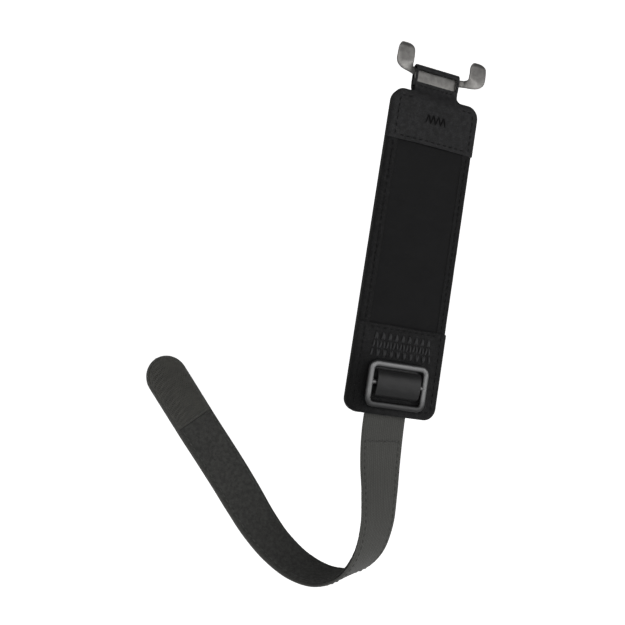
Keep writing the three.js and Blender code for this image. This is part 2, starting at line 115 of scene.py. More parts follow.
# ------------------------------------------------------------------ pad surface
def half_width(z):
    t = (np.asarray(z, float) + PAD_HALF) / PAD_LENGTH
    return (BOTTOM_WIDTH * (1 - t) + TOP_WIDTH * t) / 2


def inset(x, z):
    """Distance inwards from the pad's rounded outline."""
    dx = np.abs(np.asarray(x, float)) - (half_width(z) - CORNER_R)
    dz = np.abs(np.asarray(z, float)) - (PAD_HALF - CORNER_R)
    outside = np.hypot(np.maximum(dx, 0), np.maximum(dz, 0))
    return -(outside + np.minimum(np.maximum(dx, dz), 0) - CORNER_R)


def smooth(start, end, x):
    """Smooth step from 0 at start to 1 at end."""
    t = np.clip((np.asarray(x, float) - start) / (end - start), 0, 1)
    return t * t * (3 - 2 * t)


def wobble(x, z, scale, seed):
    """Smooth repeatable noise from seven sines."""
    random = np.random.RandomState(100 + seed)
    total = 0
    for _ in range(7):
        angle = random.uniform(0, 2 * math.pi)
        frequency = (0.5 + random.rand()) / scale
        along = np.cos(angle) * x + np.sin(angle) * z
        total = total + np.sin(2 * math.pi * frequency * along + random.uniform(0, 6.28))
    return total / 7


def front_y(x, z, lift=0.0):
    """Front surface of the pad: a rolled edge, a stitch groove and a low crown."""
    depth = inset(x, z)
    edge = np.clip(depth, 0, EDGE_R)
    roll = np.sqrt(np.maximum(EDGE_R ** 2 - (EDGE_R - edge) ** 2, 0))
    crown = 0.55 * smooth(4.5, 17, depth)
    groove = 0.30 * np.exp(-((depth - STITCH_INSET) / 0.5) ** 2)
    return -(4.85 + roll + crown - groove + 0.07 * wobble(x, z, 16, 1) + lift)


# ------------------------------------------------------------------ curves and outlines
def unit(vectors):
    return vectors / np.maximum(np.linalg.norm(vectors, axis=-1, keepdims=True), 1e-12)


def arc(cx, cz, radius, start, end, steps):
    """Points round a circle from start to end, in degrees."""
    angles = [math.radians(start + (end - start) * k / steps) for k in range(steps + 1)]
    return [(cx + radius * math.cos(a), cz + radius * math.sin(a)) for a in angles]


def round_corners(centres, radius, steps):
    """Quarter arcs round four centres, anticlockwise from the lower right one."""
    return [point for i, (cx, cz) in enumerate(centres)
            for point in arc(cx, cz, radius, 90 * i - 90, 90 * i, steps)]


def mirrored(path):
    """The path reflected in x and run backwards, to close a symmetric outline."""
    return [(-x, z) for x, z in reversed(path)]


def lengths_along(points):
    steps = np.linalg.norm(np.diff(points, axis=0), axis=1)
    return np.concatenate([[0], np.cumsum(steps)])


def interp_rows(at, stations, table):
    """Linear interpolation of every column of a table."""
    return np.stack([np.interp(at, stations, column) for column in table.T], -1)


def hermite(start, end, slope0, slope1, t):
    return (start + slope0 * t + (-3 * start + 3 * end - 2 * slope0 - slope1) * t * t
            + (2 * start - 2 * end + slope0 + slope1) * t ** 3)


def extend_ends(table):
    """Add one extrapolated row before and after a table."""
    return np.vstack([2 * table[0] - table[1], table, 2 * table[-1] - table[-2]])


def superellipse(half_w, half_h, count, power):
    t = np.linspace(0, 2 * math.pi, count, endpoint=False)
    c, s = np.cos(t), np.sin(t)
    return np.stack([half_w * np.sign(c) * np.abs(c) ** (2 / power),
                     half_h * np.sign(s) * np.abs(s) ** (2 / power)], 1)


def pad_ring(depth, count):
    """Points round the inset outline, anticlockwise seen from the front, from bottom middle.

    Stations come from the outer outline, so rings at different insets match up.
    """
    def outline(d):
        r = CORNER_R - d
        top = PAD_HALF - d - r
        low_x = half_width(-PAD_HALF) - d - r
        high_x = half_width(PAD_HALF) - d - r
        centres = [(low_x, -top), (high_x, top), (-high_x, top), (-low_x, -top)]
        middle = [(0.0, -(PAD_HALF - d))]
        return np.array(middle + round_corners(centres, r, 8) + middle)

    along = lengths_along(outline(0.0))
    at = np.linspace(0, along[-1], count, endpoint=False)
    return interp_rows(at, along, outline(depth))


# ------------------------------------------------------------------ mesh tools
def build_mesh(name, verts, faces, material, uv, sharp=55):
    """Make an object from points in mm, leaving out the points no face uses."""
    verts = np.asarray(verts, float)
    used = np.zeros(len(verts), bool)
    for face in faces:
        used[list(face)] = True
    new_index = np.cumsum(used) - 1
    faces = [[int(new_index[i]) for i in face] for face in faces]
    mesh = bpy.data.meshes.new(name)
    mesh.from_pydata((verts[used] * MM).tolist(), [], faces)
    layer = mesh.uv_layers.new(name="UVMap")
    corners = np.zeros(len(mesh.loops), np.int32)
    mesh.loops.foreach_get("vertex_index", corners)
    uv = np.asarray(uv, float)[used]
    layer.data.foreach_set("uv", uv[corners].astype(np.float32).ravel())
    mesh.polygons.foreach_set("use_smooth", np.ones(len(mesh.polygons), bool))
    mesh.materials.append(material)
    mesh.update()
    mesh.set_sharp_from_angle(angle=math.radians(sharp))
    ob = bpy.data.objects.new(name, mesh)
    SCENE.collection.objects.link(ob)
    return ob


def fit(ob, body, slot, *replaced):
    """Parent the object to the empty of the body that carries it and hide the CAD pieces it
    replaces; slot is not used.
    """
    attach(ob, body)
    if replaced:
        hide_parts(*replaced)


def build_shell(name, mid, normals, thick, faces, uv, material, bulge=0.35, sharp=55):
    """Closed shell round a mid surface whose faces are wound about its vertex normals.

    bulge is how far the rim stands out, as a share of the thickness.
    """
    count = len(mid)
    thick = np.broadcast_to(np.asarray(thick, float), (count,))[:, None]
    top = mid + normals * thick / 2
    bottom = mid - normals * thick / 2
    shell = [list(face) for face in faces]
    shell += [[i + count for i in reversed(face)] for face in faces]
    edges = {}
    for face in faces:
        for a, b in zip(face, list(face[1:]) + [face[0]]):
            edges[(a, b)] = True
    border = [(a, b) for (a, b) in edges if (b, a) not in edges]
    push = {}
    for a, b in border:
        out = unit(np.cross(mid[b] - mid[a], (normals[a] + normals[b]) / 2))
        for k in (a, b):
            push[k] = push.get(k, np.zeros(3)) + out
    rim_index = {k: 2 * count + i for i, k in enumerate(push)}
    rim = np.array([mid[k] + unit(out) * thick[k] * bulge for k, out in push.items()])
    for a, b in border:
        shell.append([b, a, rim_index[a], rim_index[b]])
        shell.append([rim_index[b], rim_index[a], a + count, b + count])
    uv = np.vstack([uv, uv, uv[list(push)]])
    return build_mesh(name, np.vstack([top, bottom, rim]), shell, material, uv, sharp)


def grid_faces(rows, columns):
    starts = [i * columns + j for i in range(rows - 1) for j in range(columns - 1)]
    return [[a, a + columns, a + columns + 1, a + 1] for a in starts]


def grid_normals(points):
    return unit(np.cross(np.gradient(points, axis=0), np.gradient(points, axis=1)))


def sheet(name, points, thick, material, uv=None, outward=None, bulge=0.35):
    """Closed thin solid round a grid of mid-surface points.

    outward is a rough direction for its top side; uv is x and z unless given.
    """
    uv = points[..., [0, 2]] if uv is None else uv
    thick = np.broadcast_to(np.asarray(thick, float), points.shape[:2])
    normals = grid_normals(points)
    if outward is not None and np.mean(np.sum(normals * np.asarray(outward), axis=-1)) < 0:
        points, uv, thick = points[:, ::-1], uv[:, ::-1], thick[:, ::-1]
        normals = grid_normals(points)
    return build_shell(name, points.reshape(-1, 3), normals.reshape(-1, 3), thick.reshape(-1),
                       grid_faces(*points.shape[:2]), uv.reshape(-1, 2), material, bulge)


def loft(name, sections, material, sharp, closed=False):
    """Skin over a row of equal sections, capped at both ends unless it closes on itself."""
    sections = np.array(sections)
    rows, sides, _ = sections.shape
    verts = sections.reshape(-1, 3)
    faces = []
    for i in range(rows if closed else rows - 1):
        i2 = (i + 1) % rows
        for j in range(sides):
            j2 = (j + 1) % sides
            faces.append([i * sides + j, i * sides + j2, i2 * sides + j2, i2 * sides + j])
    if not closed:
        first, last = len(verts), len(verts) + 1
        verts = np.vstack([verts, sections[0].mean(0), sections[-1].mean(0)])
        for j in range(sides):
            j2 = (j + 1) % sides
            faces.append([first, j2, j])
            faces.append([last, (rows - 1) * sides + j, (rows - 1) * sides + j2])
    volume = 0.0
    for face in faces:
        for k in range(1, len(face) - 1):
            volume += np.dot(verts[face[0]], np.cross(verts[face[k]], verts[face[k + 1]]))
    if volume < 0:
        faces = [list(reversed(face)) for face in faces]
    uv = np.stack([verts[:, 0] + verts[:, 1], verts[:, 2]], 1)
    return build_mesh(name, verts, faces, material, uv, sharp)


def wind_outwards(verts, faces, centre):
    """Flip all faces if the first one looks towards centre."""
    first = verts[faces[0]]
    normal = np.cross(first[1] - first[0], first[2] - first[0])
    if normal @ (first.mean(0) - centre) < 0:
        return [list(reversed(face)) for face in faces]
    return faces


# ------------------------------------------------------------------ plates cut to an outline
PLATE_STEP = 0.8        # spacing of the points that fill a plate
ROW_SHARE = 0.87        # spacing of their rows, as a share of the step


def inside(loop, points):
    x, y = points[:, 0], points[:, 1]
    result = np.zeros(len(points), bool)
    for (xi, yi), (xj, yj) in zip(loop, np.roll(loop, 1, 0)):
        result ^= ((yi > y) != (yj > y)) & (x < (xj - xi) * (y - yi) / (yj - yi + 1e-12) + xi)
    return result


def in_plate(loops, points):
    """Inside the outline, which comes first, and outside every hole."""
    result = inside(loops[0], points)
    for hole in loops[1:]:
        result &= ~inside(hole, points)
    return result


def border_distance(loops, points):
    best = np.full(len(points), 1e9)
    for loop in loops:
        for a, b in zip(loop, np.roll(loop, -1, 0)):
            d = b - a
            t = np.clip(((points - a) @ d) / max(float(d @ d), 1e-12), 0, 1)
            nearest = a + t[:, None] * d
            best = np.minimum(best, np.hypot(*(points - nearest).T))
    return best


def resample(loop, step):
    """Cut every side of a closed loop into equal parts no longer than step."""
    points = []
    for i in range(len(loop)):
        a, b = np.array(loop[i], float), np.array(loop[(i + 1) % len(loop)], float)
        parts = max(1, int(math.ceil(np.hypot(*(b - a)) / step)))
        points += [a + (b - a) * k / parts for k in range(parts)]
    return np.array(points)


def ring_rows(loops, rings):
    """Extra rows of points that follow each border at the given distances."""
    rows = []
    for distance in rings:
        for i, loop in enumerate(loops):
            after, before = np.roll(loop, -1, 0), np.roll(loop, 1, 0)
            along = unit(after - before)
            area = 0.5 * np.sum(loop[:, 0] * after[:, 1] - after[:, 0] * loop[:, 1])
            sign = (1 if area > 0 else -1) * (1 if i == 0 else -1)
            row = loop + np.stack([-along[:, 1], along[:, 0]], 1) * sign * distance
            clear = border_distance(loops, row) > distance * 0.93
            rows.append(row[clear & in_plate(loops, row)])
    return rows


def triangulate(outline, holes, rings):
    """Points and anticlockwise triangles that fill an outline with holes."""
    loops = [resample(loop, PLATE_STEP) for loop in [outline] + holes]
    low, high = loops[0].min(0), loops[0].max(0)
    columns = int((high[0] - low[0]) / PLATE_STEP) + 1
    rows = int((high[1] - low[1]) / (PLATE_STEP * ROW_SHARE)) + 1
    fill = np.array([
        (low[0] + (i + 0.5 * (j % 2)) * PLATE_STEP, low[1] + j * PLATE_STEP * ROW_SHARE)
        for j in range(rows + 1) for i in range(columns + 1)])
    clear = border_distance(loops, fill) > max(rings) + PLATE_STEP * 0.45
    fill = fill[in_plate(loops, fill) & clear]

    verts, edges = [], []
    for loop in loops:
        base, count = len(verts), len(loop)
        verts += [Vector(point) for point in loop]
        edges += [(base + k, base + (k + 1) % count) for k in range(count)]
    verts += [Vector(point) for point in np.vstack([fill] + ring_rows(loops, rings))]
    points, _, faces, *_ = delaunay_2d_cdt(verts, edges, [], 0, 1e-5)
    points = np.array([[p.x, p.y] for p in points])
    faces = np.array([list(face) for face in faces if len(face) == 3])
    faces = faces[in_plate(loops, points[faces].mean(1))]
    a, b, c = (points[faces[:, k]] for k in range(3))
    area = ((b[:, 0] - a[:, 0]) * (c[:, 1] - a[:, 1])
            - (c[:, 0] - a[:, 0]) * (b[:, 1] - a[:, 1]))
    faces, area = faces[np.abs(area) > 1e-7], area[np.abs(area) > 1e-7]
    faces[area < 0] = faces[area < 0][:, ::-1]
    return points, faces


def plate(name, outline, holes, lift, thick, material, rings=(0.35, 0.8, 1.3)):
    """A flat outline laid on a curved surface by lift(x, s), as a closed thin solid."""
    flat, faces = triangulate(outline, holes, rings)
    x, s = flat[:, 0], flat[:, 1]
    e = 0.05
    across = lift(x + e, s) - lift(x - e, s)
    along = lift(x, s + e) - lift(x, s - e)
    return build_shell(name, lift(x, s), unit(np.cross(across, along)),
                       thick(s) if callable(thick) else thick, faces.tolist(), flat, material)


# ------------------------------------------------------------------ stitches
def on_surface(lift, x, z, proud=0.5):
    """Points standing proud of a lifted surface, towards the front."""
    points = lift(*np.broadcast_arrays(x, z))
    points[:, 1] -= proud
    return points


class Threads:
    """Many stitches gathered into one mesh."""

    SIDES = 7
    SHARE = 0.72    # length of a stitch, as a share of the pitch

    def __init__(self):
        self.verts, self.faces, self.uv = [], [], []

    def stitch(self, start, end, normal, r=0.28, rise=0.22, rings=7):
        """One stitch that arches over the surface and dips in at both ends."""
        along = unit(end - start)
        side = unit(np.cross(unit(np.array(normal, float)), along))
        normal = np.cross(along, side)
        length = np.linalg.norm(end - start)
        base, sides = len(self.verts), self.SIDES
        for k in range(rings):
            t = k / (rings - 1)
            swell = math.sin(math.pi * t)
            height = rise * swell ** 0.8 - 0.30 * (1 - swell) ** 2
            centre = start + (end - start) * t + normal * height
            radius = r * (0.62 + 0.38 * swell ** 0.5)
            for j in range(sides):
                angle = 2 * math.pi * j / sides
                out = normal * math.sin(angle) + side * math.cos(angle)
                self.verts.append(centre + out * radius)
                self.uv.append((t * length, angle))
        for k in range(rings - 1):
            near, far = base + k * sides, base + (k + 1) * sides
            for j in range(sides):
                j2 = (j + 1) % sides
                self.faces.append([near + j, near + j2, far + j2, far + j])
        self.faces.append([base + j for j in reversed(range(sides))])
        self.faces.append([base + (rings - 1) * sides + j for j in range(sides)])

    def row(self, points, normals, pitch=PITCH, r=0.28, rise=0.22):
        """Stitches along a polyline; normals is one direction, or one for each point."""
        points = np.array(points, float)
        normals = np.broadcast_to(np.asarray(normals, float), points.shape)
        along = lengths_along(points)
        count = max(1, int(round(along[-1] / pitch)))
        step = along[-1] / count
        for k in range(count):
            start = (k + (1 - self.SHARE) / 2) * step
            end = (k + (1 + self.SHARE) / 2) * step
            self.stitch(interp_rows(start, along, points), interp_rows(end, along, points),
                        interp_rows((start + end) / 2, along, normals), r, rise)

    def build(self, name, material):
        verts = np.array(self.verts)
        faces = wind_outwards(verts, self.faces, verts[:self.SIDES].mean(0))
        return build_mesh(name, verts, faces, material, self.uv, sharp=60)


# ------------------------------------------------------------------ shader tools
class Shader:
    """Builds the nodes of a material or world; tones are multiples of a base grey."""

    INPUTS = {"color": "Base Color", "roughness": "Roughness", "normal": "Normal",
              "specular": "Specular IOR Level", "sheen": "Sheen Weight",
              "sheen_roughness": "Sheen Roughness", "metallic": "Metallic",
              "anisotropic": "Anisotropic", "emission": "Emission Color",
              "emission_strength": "Emission Strength"}

    def __init__(self, owner, base=1.0, tint=(1, 1, 1)):
        owner.use_nodes = True
        self.owner, self.tree = owner, owner.node_tree
        self.base, self.tint = base, tint

    def put(self, socket, value):
        if isinstance(value, bpy.types.NodeSocket):
            self.tree.links.new(value, socket)
        else:
            socket.default_value = value

    def add(self, kind, ins=None, **props):
        node = self.tree.nodes.new(kind)
        for key, value in props.items():
            setattr(node, key, value)
        for key, value in (ins or {}).items():
            self.put(node.inputs[key], value)
        return node

    def finish(self, **values):
        """Set the principled shader's inputs and give back the material."""
        shader = self.tree.nodes["Principled BSDF"]
        for key, value in values.items():
            self.put(shader.inputs[self.INPUTS[key]], value)
        return self.owner

    def coords(self, kind="Object"):
        return self.add("ShaderNodeTexCoord").outputs[kind]

    def split(self, vector):
        return self.add("ShaderNodeSeparateXYZ", ins={"Vector": vector}).outputs

    def math(self, operation, a, b=None, clamp=False):
        node = self.add("ShaderNodeMath", operation=operation, use_clamp=clamp)
        self.put(node.inputs[0], a)
        if b is not None:
            self.put(node.inputs[1], b)
        return node.outputs[0]

    def layers(self, *terms):
        """Sum of (value, weight) pairs; a weight of None adds the value as it is."""
        total = None
        for value, weight in terms:
            if weight is not None:
                value = self.math("MULTIPLY", value, weight)
            total = value if total is None else self.math("ADD", total, value)
        return total

    def wave(self, value, length):
        return self.math("SINE", self.math("MULTIPLY", value, 2 * math.pi / length))

    def tone(self, level, tint=None):
        return (*(self.base * level * channel for channel in tint or self.tint), 1)

    def mix(self, factor, a, b):
        node = self.add("ShaderNodeMix", data_type="RGBA", ins={0: factor, 6: a, 7: b})
        return node.outputs[2]

    def mottled(self, mask, dark, light):
        """Two tones mixed by a mask."""
        return self.mix(mask, self.tone(dark), self.tone(light))

    def stain(self, color, mask, tone, share=None, tint=None):
        """A tone laid over a color where the mask is high, at a share of full strength."""
        if share is not None:
            mask = self.math("MULTIPLY", mask, share)
        return self.mix(mask, color, self.tone(tone, tint))

    def ramp(self, value, *stops):
        """Color ramp through (position, grey) stops."""
        node = self.add("ShaderNodeValToRGB", ins={0: value})
        elements = node.color_ramp.elements
        while len(elements) < len(stops):
            elements.new(0.5)
        for element, (position, grey) in zip(elements, stops):
            element.position = position
            element.color = (grey, grey, grey, 1)
        return node.outputs[0]

    def noise(self, vector, scale, detail=3, rough=0.55, distort=0.0):
        node = self.add("ShaderNodeTexNoise", ins={
            "Vector": vector, "Scale": scale, "Detail": detail, "Roughness": rough,
            "Distortion": distort})
        return node.outputs["Fac"]

    def cells(self, vector, scale):
        """Distance to the nearest edge of a Voronoi cell."""
        node = self.add("ShaderNodeTexVoronoi", feature="DISTANCE_TO_EDGE",
                        ins={"Vector": vector, "Scale": scale})
        return node.outputs["Distance"]

    def warped(self, vector, scale, amount):
        """Coordinates shifted by color noise."""
        noise = self.add("ShaderNodeTexNoise",
                         ins={"Vector": vector, "Scale": scale, "Detail": 2.0})
        shift = self.add("ShaderNodeVectorMath", operation="SCALE",
                         ins={0: noise.outputs["Color"], "Scale": amount})
        moved = self.add("ShaderNodeVectorMath", operation="ADD",
                         ins={0: vector, 1: shift.outputs[0]})
        return moved.outputs[0]

    def stretched(self, vector, scale):
        node = self.add("ShaderNodeMapping", ins={"Vector": vector, "Scale": scale})
        return node.outputs[0]

    def pointiness(self):
        return self.add("ShaderNodeNewGeometry").outputs["Pointiness"]

    def camera_ray(self):
        return self.add("ShaderNodeLightPath").outputs["Is Camera Ray"]

    def bump(self, height, strength, distance):
        node = self.add("ShaderNodeBump", ins={
            "Strength": strength, "Distance": distance, "Height": height})
        return node.outputs["Normal"]


def new_shader(name, base=1.0, tint=(1, 1, 1)):
    return Shader(bpy.data.materials.new(name), base, tint)


# ------------------------------------------------------------------ materials
def leather(name, base, grain, specular, mottle, painted_corner_shade=False):
    """Pebbled leather with creases, worn edges and pale mottling, with painted shade at the
    lower left corner when asked for.
    """
    mat = new_shader(name, base, tint=(1, 1, 1.04))
    place = mat.coords()
    warped = mat.warped(place, scale=420.0, amount=0.0011)
    cell = mat.ramp(mat.cells(warped, scale=950.0), (0.0, 0), (0.16, 0.75), (0.5, 1))
    fine = mat.ramp(mat.cells(warped, scale=2300.0), (0.0, 0), (0.25, 1))
    crease = mat.noise(place, scale=160.0, detail=5, rough=0.6, distort=0.4)
    pebble = mat.noise(place, scale=520.0, distort=0.3)
    height = mat.layers((cell, 0.62), (fine, 0.18), (crease, 0.55), (pebble, 1.1))
    patchy = mat.noise(place, scale=60.0, detail=4, rough=0.6)
    spots = mat.ramp(mat.noise(place, scale=430.0, rough=0.6, distort=0.3), (0.36, 0), (0.64, 1))
    color = mat.mottled(patchy, dark=0.78, light=1.25)
    color = mat.stain(color, spots, share=mottle, tone=2.1)
    if painted_corner_shade:
        # painted shade: the leather is darkened towards the lower left corner, seen from the
        # front
        x, _, z = mat.split(place)
        fades = [
            mat.math("MULTIPLY", mat.math("SUBTRACT", start, value), per_metre, clamp=True)
            for value, start, per_metre in ((x, -0.004, 62.0), (z, -0.044, 55.0))]
        corner = mat.math("MULTIPLY", mat.math("MULTIPLY", *fades), 1.0, clamp=True)
        color = mat.stain(color, corner, tone=0.12)
    color = mat.stain(color, mat.math("SUBTRACT", 1.0, cell), share=0.55, tone=0.35)
    edge = mat.ramp(mat.pointiness(), (0.52, 0), (0.60, 1))
    color = mat.stain(color, edge, share=0.35, tone=2.1)
    return mat.finish(
        color=color, specular=specular,
        roughness=mat.math("ADD", 0.52, mat.layers((patchy, 0.16))),
        normal=mat.bump(height, strength=0.55 * grain, distance=0.00022))


def knit(name, base, cell, specular, sheen):
    """Fine close knit; cell is the stitch width in mm."""
    mat = new_shader(name, base, tint=(1, 1, 1.03))
    u, v, _ = mat.split(mat.coords("UV"))
    wale = mat.wave(u, length=cell)
    course = mat.math("SINE", mat.layers((v, 2 * math.pi / cell * 0.8), (wale, 1.1)))
    place = mat.coords()
    broad = mat.noise(place, scale=90.0, detail=5, rough=0.65)
    fuzz = mat.noise(place, scale=2600.0, detail=2, rough=0.6)
    height = mat.layers((wale, 0.25), (course, 0.25), (fuzz, 0.6))
    color = mat.mottled(broad, dark=0.8, light=1.22)
    color = mat.stain(color, fuzz, share=0.35, tone=1.5)
    return mat.finish(
        color=color, roughness=0.85, specular=specular, sheen=sheen, sheen_roughness=0.5,
        normal=mat.bump(height, strength=0.45, distance=0.00012))


def webbing(name, base):
    """Ribbed webbing: ribs along the strap, picks across them, darker hollows, and painted shade
    near the tail's root.
    """
    rib_pitch, pick_pitch = 1.05, 1.25      # mm
    root_shade_length = 75.0                      # mm of strap over which the painted shade near the root dies away
    mat = new_shader(name, base, tint=(1.0, 1.0, 0.93))
    u, v, _ = mat.split(mat.coords("UV"))
    rib = mat.math("FLOOR", mat.math("DIVIDE", u, rib_pitch))
    # picks on every second rib are moved by half a pitch
    shift = mat.math("MULTIPLY", mat.math("MODULO", rib, 2.0), pick_pitch / 2)

    def arches(value, pitch, power):
        """A rounded hump in every pitch; a lower power makes it flatter."""
        part = mat.math("FRACT", mat.math("DIVIDE", value, pitch))
        hump = mat.math("SINE", mat.math("MULTIPLY", part, math.pi))
        return mat.math("POWER", mat.math("ABSOLUTE", hump), power)

    ribs = arches(u, rib_pitch, power=0.7)
    picks = arches(mat.math("ADD", v, shift), pick_pitch, power=0.55)
    weave = mat.math("MULTIPLY", ribs, mat.math("ADD", 0.55, mat.layers((picks, 0.45))))
    place = mat.coords()
    fibre = mat.noise(place, scale=3200.0, detail=2, rough=0.5)
    broad = mat.noise(place, scale=55.0, detail=4, rough=0.6)
    along = mat.stretched(mat.coords("UV"), scale=(0.55, 0.03, 1.0))
    streak = mat.noise(along, scale=1.0, rough=0.6)
    # painted shade: the strap is darkened near its root, less and less over the first 75 mm
    near = mat.math("SUBTRACT", 1.0, mat.math("DIVIDE", v, root_shade_length), clamp=True)
    hollow = mat.math("SUBTRACT", 1.0, weave, clamp=True)
    color = mat.mottled(broad, dark=0.86, light=1.14)
    color = mat.stain(color, mat.ramp(streak, (0.35, 0), (0.65, 0.5)), tone=1.35)
    color = mat.stain(color, near, share=0.42, tone=0.45, tint=(1.0, 1.0, 0.9))
    color = mat.stain(color, hollow, tone=0.45)
    color = mat.stain(color, fibre, share=0.25, tone=1.45)
    height = mat.layers((weave, None), (fibre, 0.25))
    return mat.finish(
        color=color, specular=0.25, sheen=0.15, sheen_roughness=0.4,
        roughness=mat.math("ADD", 0.67, mat.layers((fibre, 0.12))),
        normal=mat.bump(height, strength=0.6, distance=0.00018))


def pile(name, base):
    """Loop pile: tangled small loops, mottled where the nap is pressed."""
    mat = new_shader(name, base, tint=(1, 1, 0.95))
    place = mat.coords()
    warped = mat.warped(place, scale=700.0, amount=0.0016)
    loops = mat.ramp(mat.cells(warped, scale=1500.0), (0.0, 0), (0.12, 1), (0.42, 0.2))
    fuzz = mat.noise(place, scale=2600.0, detail=4, rough=0.7, distort=0.6)
    nap = mat.noise(place, scale=150.0, detail=4, rough=0.65, distort=0.5)
    nap = mat.ramp(nap, (0.38, 0), (0.62, 1))
    speck = mat.ramp(mat.noise(place, scale=520.0, rough=0.7), (0.38, 0), (0.62, 1))
    color = mat.mottled(nap, dark=0.80, light=1.2)
    color = mat.stain(color, mask=0.62, tone=0.42)
    color = mat.stain(color, speck, share=0.62, tone=1.62)
    color = mat.stain(color, loops, share=0.35, tone=1.8)
    color = mat.stain(color, fuzz, share=0.3, tone=0.4)
    height = mat.layers((loops, 0.5), (fuzz, 0.8), (nap, 0.6))
    return mat.finish(
        color=color, roughness=0.95, specular=0.05, sheen=0.04, sheen_roughness=0.6,
        normal=mat.bump(height, strength=0.8, distance=0.00025))


def satin(name, base):
    """Satin band with fine cross ribs and a slanting twill."""
    mat = new_shader(name, base, tint=(1, 1, 1.04))
    u, v, _ = mat.split(mat.coords("UV"))
    place = mat.coords()
    rib = mat.wave(v, length=0.42)
    twill = mat.wave(mat.layers((v, None), (u, 0.5)), length=0.9)
    fibre = mat.noise(place, scale=2400.0, detail=2, rough=0.5)
    broad = mat.noise(place, scale=110.0, rough=0.5)
    height = mat.layers((rib, 0.3), (mat.layers((twill, 0.18), (fibre, 0.35)), None))
    return mat.finish(
        color=mat.mottled(broad, dark=0.85, light=1.15),
        roughness=mat.math("ADD", 0.36, mat.layers((fibre, 0.14))),
        specular=0.24, anisotropic=0.5, sheen=0.03,
        normal=mat.bump(height, strength=0.25, distance=0.0001))


def metal(name, base, roughness, tint, marks=None, painted_shade_z=None):
    """Brushed metal with bright edges and dark hollows.

    marks is the strength of handling marks; the two heights in mm given for painted shade are
    where it starts to darken the metal and where it is darkest.
    """
    mat = new_shader(name, base, tint)
    place = mat.coords()
    lines = mat.noise(mat.stretched(place, scale=(60, 900, 900)), scale=4.0, rough=0.6)
    blot = mat.noise(place, scale=190.0, detail=5, rough=0.6)
    pit = mat.noise(place, scale=1400.0, rough=0.5)
    color = mat.mottled(blot, dark=0.82, light=1.12)
    if marks is not None:
        # handling marks, a few millimetres across
        smudge = mat.noise(place, scale=330.0, distort=0.4)
        smudge = mat.ramp(smudge, (0.36, 1), (0.64, 0))
        color = mat.stain(color, smudge, share=marks, tone=0.5)
    point = mat.pointiness()
    color = mat.stain(color, mat.ramp(point, (0.50, 0), (0.58, 1)), share=0.4, tone=1.5)
    color = mat.stain(color, mat.ramp(point, (0.40, 1), (0.49, 0)), share=0.6, tone=0.3)
    if painted_shade_z is not None:
        # painted shade: the metal is darkened towards the lower bar of the buckle
        lower_bar_shade = mat.add("ShaderNodeMapRange", ins={
            "Value": mat.split(place)[2], "From Min": painted_shade_z[0] * MM,
            "From Max": painted_shade_z[1] * MM, "To Min": 0.0, "To Max": 0.72})
        color = mat.stain(color, lower_bar_shade.outputs[0], tone=0.12)
    grain = mat.layers((lines, 0.10), (blot, 0.08))
    return mat.finish(
        color=color, metallic=1.0, roughness=mat.math("ADD", roughness, grain),
        normal=mat.bump(mat.layers((lines, 0.5), (pit, 0.25)), strength=0.25, distance=0.00006))


def thread(name, base, tint=(1, 1, 1.04), specular=0.12):
    """Twisted thread; u runs along a stitch in mm and v is the angle round it."""
    mat = new_shader(name, base, tint)
    u, v, _ = mat.split(mat.coords("UV"))
    twist = mat.math("SINE", mat.layers((u, 2 * math.pi / 0.55), (v, 2.0)))
    fibre = mat.noise(mat.coords(), scale=3000.0, detail=2, rough=0.5)
    # the sine brought into the range 0 to 1
    strand = mat.math("MULTIPLY", mat.math("ADD", twist, 1.0), 0.5)
    height = mat.layers((twist, None), (fibre, 0.4))
    return mat.finish(
        color=mat.mottled(strand, dark=0.55, light=1.2), roughness=0.6, specular=specular,
        normal=mat.bump(height, strength=0.6, distance=0.0001))


def nylon_hooks(name, base):
    """Blotchy nylon of the hook tape."""
    mat = new_shader(name, base, tint=(1, 0.97, 0.80))
    place = mat.coords()
    fine = mat.noise(place, scale=700.0, rough=0.6)
    broad = mat.noise(place, scale=90.0, rough=0.6)
    spots = mat.ramp(mat.noise(place, scale=300.0, rough=0.6), (0.38, 0), (0.62, 1))
    color = mat.mottled(broad, dark=0.8, light=1.25)
    color = mat.stain(color, spots, share=0.6, tone=1.9)
    color = mat.stain(color, fine, share=0.4, tone=1.6)
    return mat.finish(
        color=color, roughness=0.5, specular=0.4,
        normal=mat.bump(fine, strength=0.3, distance=0.0001))


def foam(name, base):
    """Open-celled foam."""
    mat = new_shader(name, base)
    place = mat.coords()
    pores = mat.cells(place, scale=1500.0)
    broad = mat.noise(place, scale=400.0, detail=4, rough=0.6)
    return mat.finish(
        color=mat.mottled(broad, dark=0.7, light=1.3), roughness=0.95,
        normal=mat.bump(pores, strength=0.6, distance=0.0002))


CAP_LEATHER = leather("cap_leather", base=0.0148, grain=1.5, specular=0.16, mottle=0.7)
PATCH_LEATHER = leather("patch_leather", base=0.0085, grain=1.8, specular=0.14, mottle=0.75,
                        painted_corner_shade=True)
BINDING_LEATHER = leather("binding_leather", base=0.0070, grain=1.8, specular=0.14,
                          mottle=0.7, painted_corner_shade=True)
COVER_CLOTH = knit("cover_cloth", base=0.0105, cell=0.55, specular=0.05, sheen=0.02)
LINING_CLOTH = knit("lining_cloth", base=0.020, cell=0.9, specular=0.15, sheen=0.2)
WEBBING = webbing("strap_webbing", base=0.062)
LOOP_PILE = pile("loop_pile", base=0.046)
HOOK_NYLON = nylon_hooks("hook_tape_nylon", base=0.0205)
SATIN = satin("satin_band", base=0.010)
CLIP_STEEL = metal("clip_steel", base=0.240, roughness=0.42, tint=(1, 0.975, 0.94), marks=0.55)
BUCKLE_STEEL = metal("buckle_steel", base=0.125, roughness=0.36, tint=(1, 1, 1.01),
                     painted_shade_z=(BUCKLE_Z - 4.0, BUCKLE_Z - 8.5))
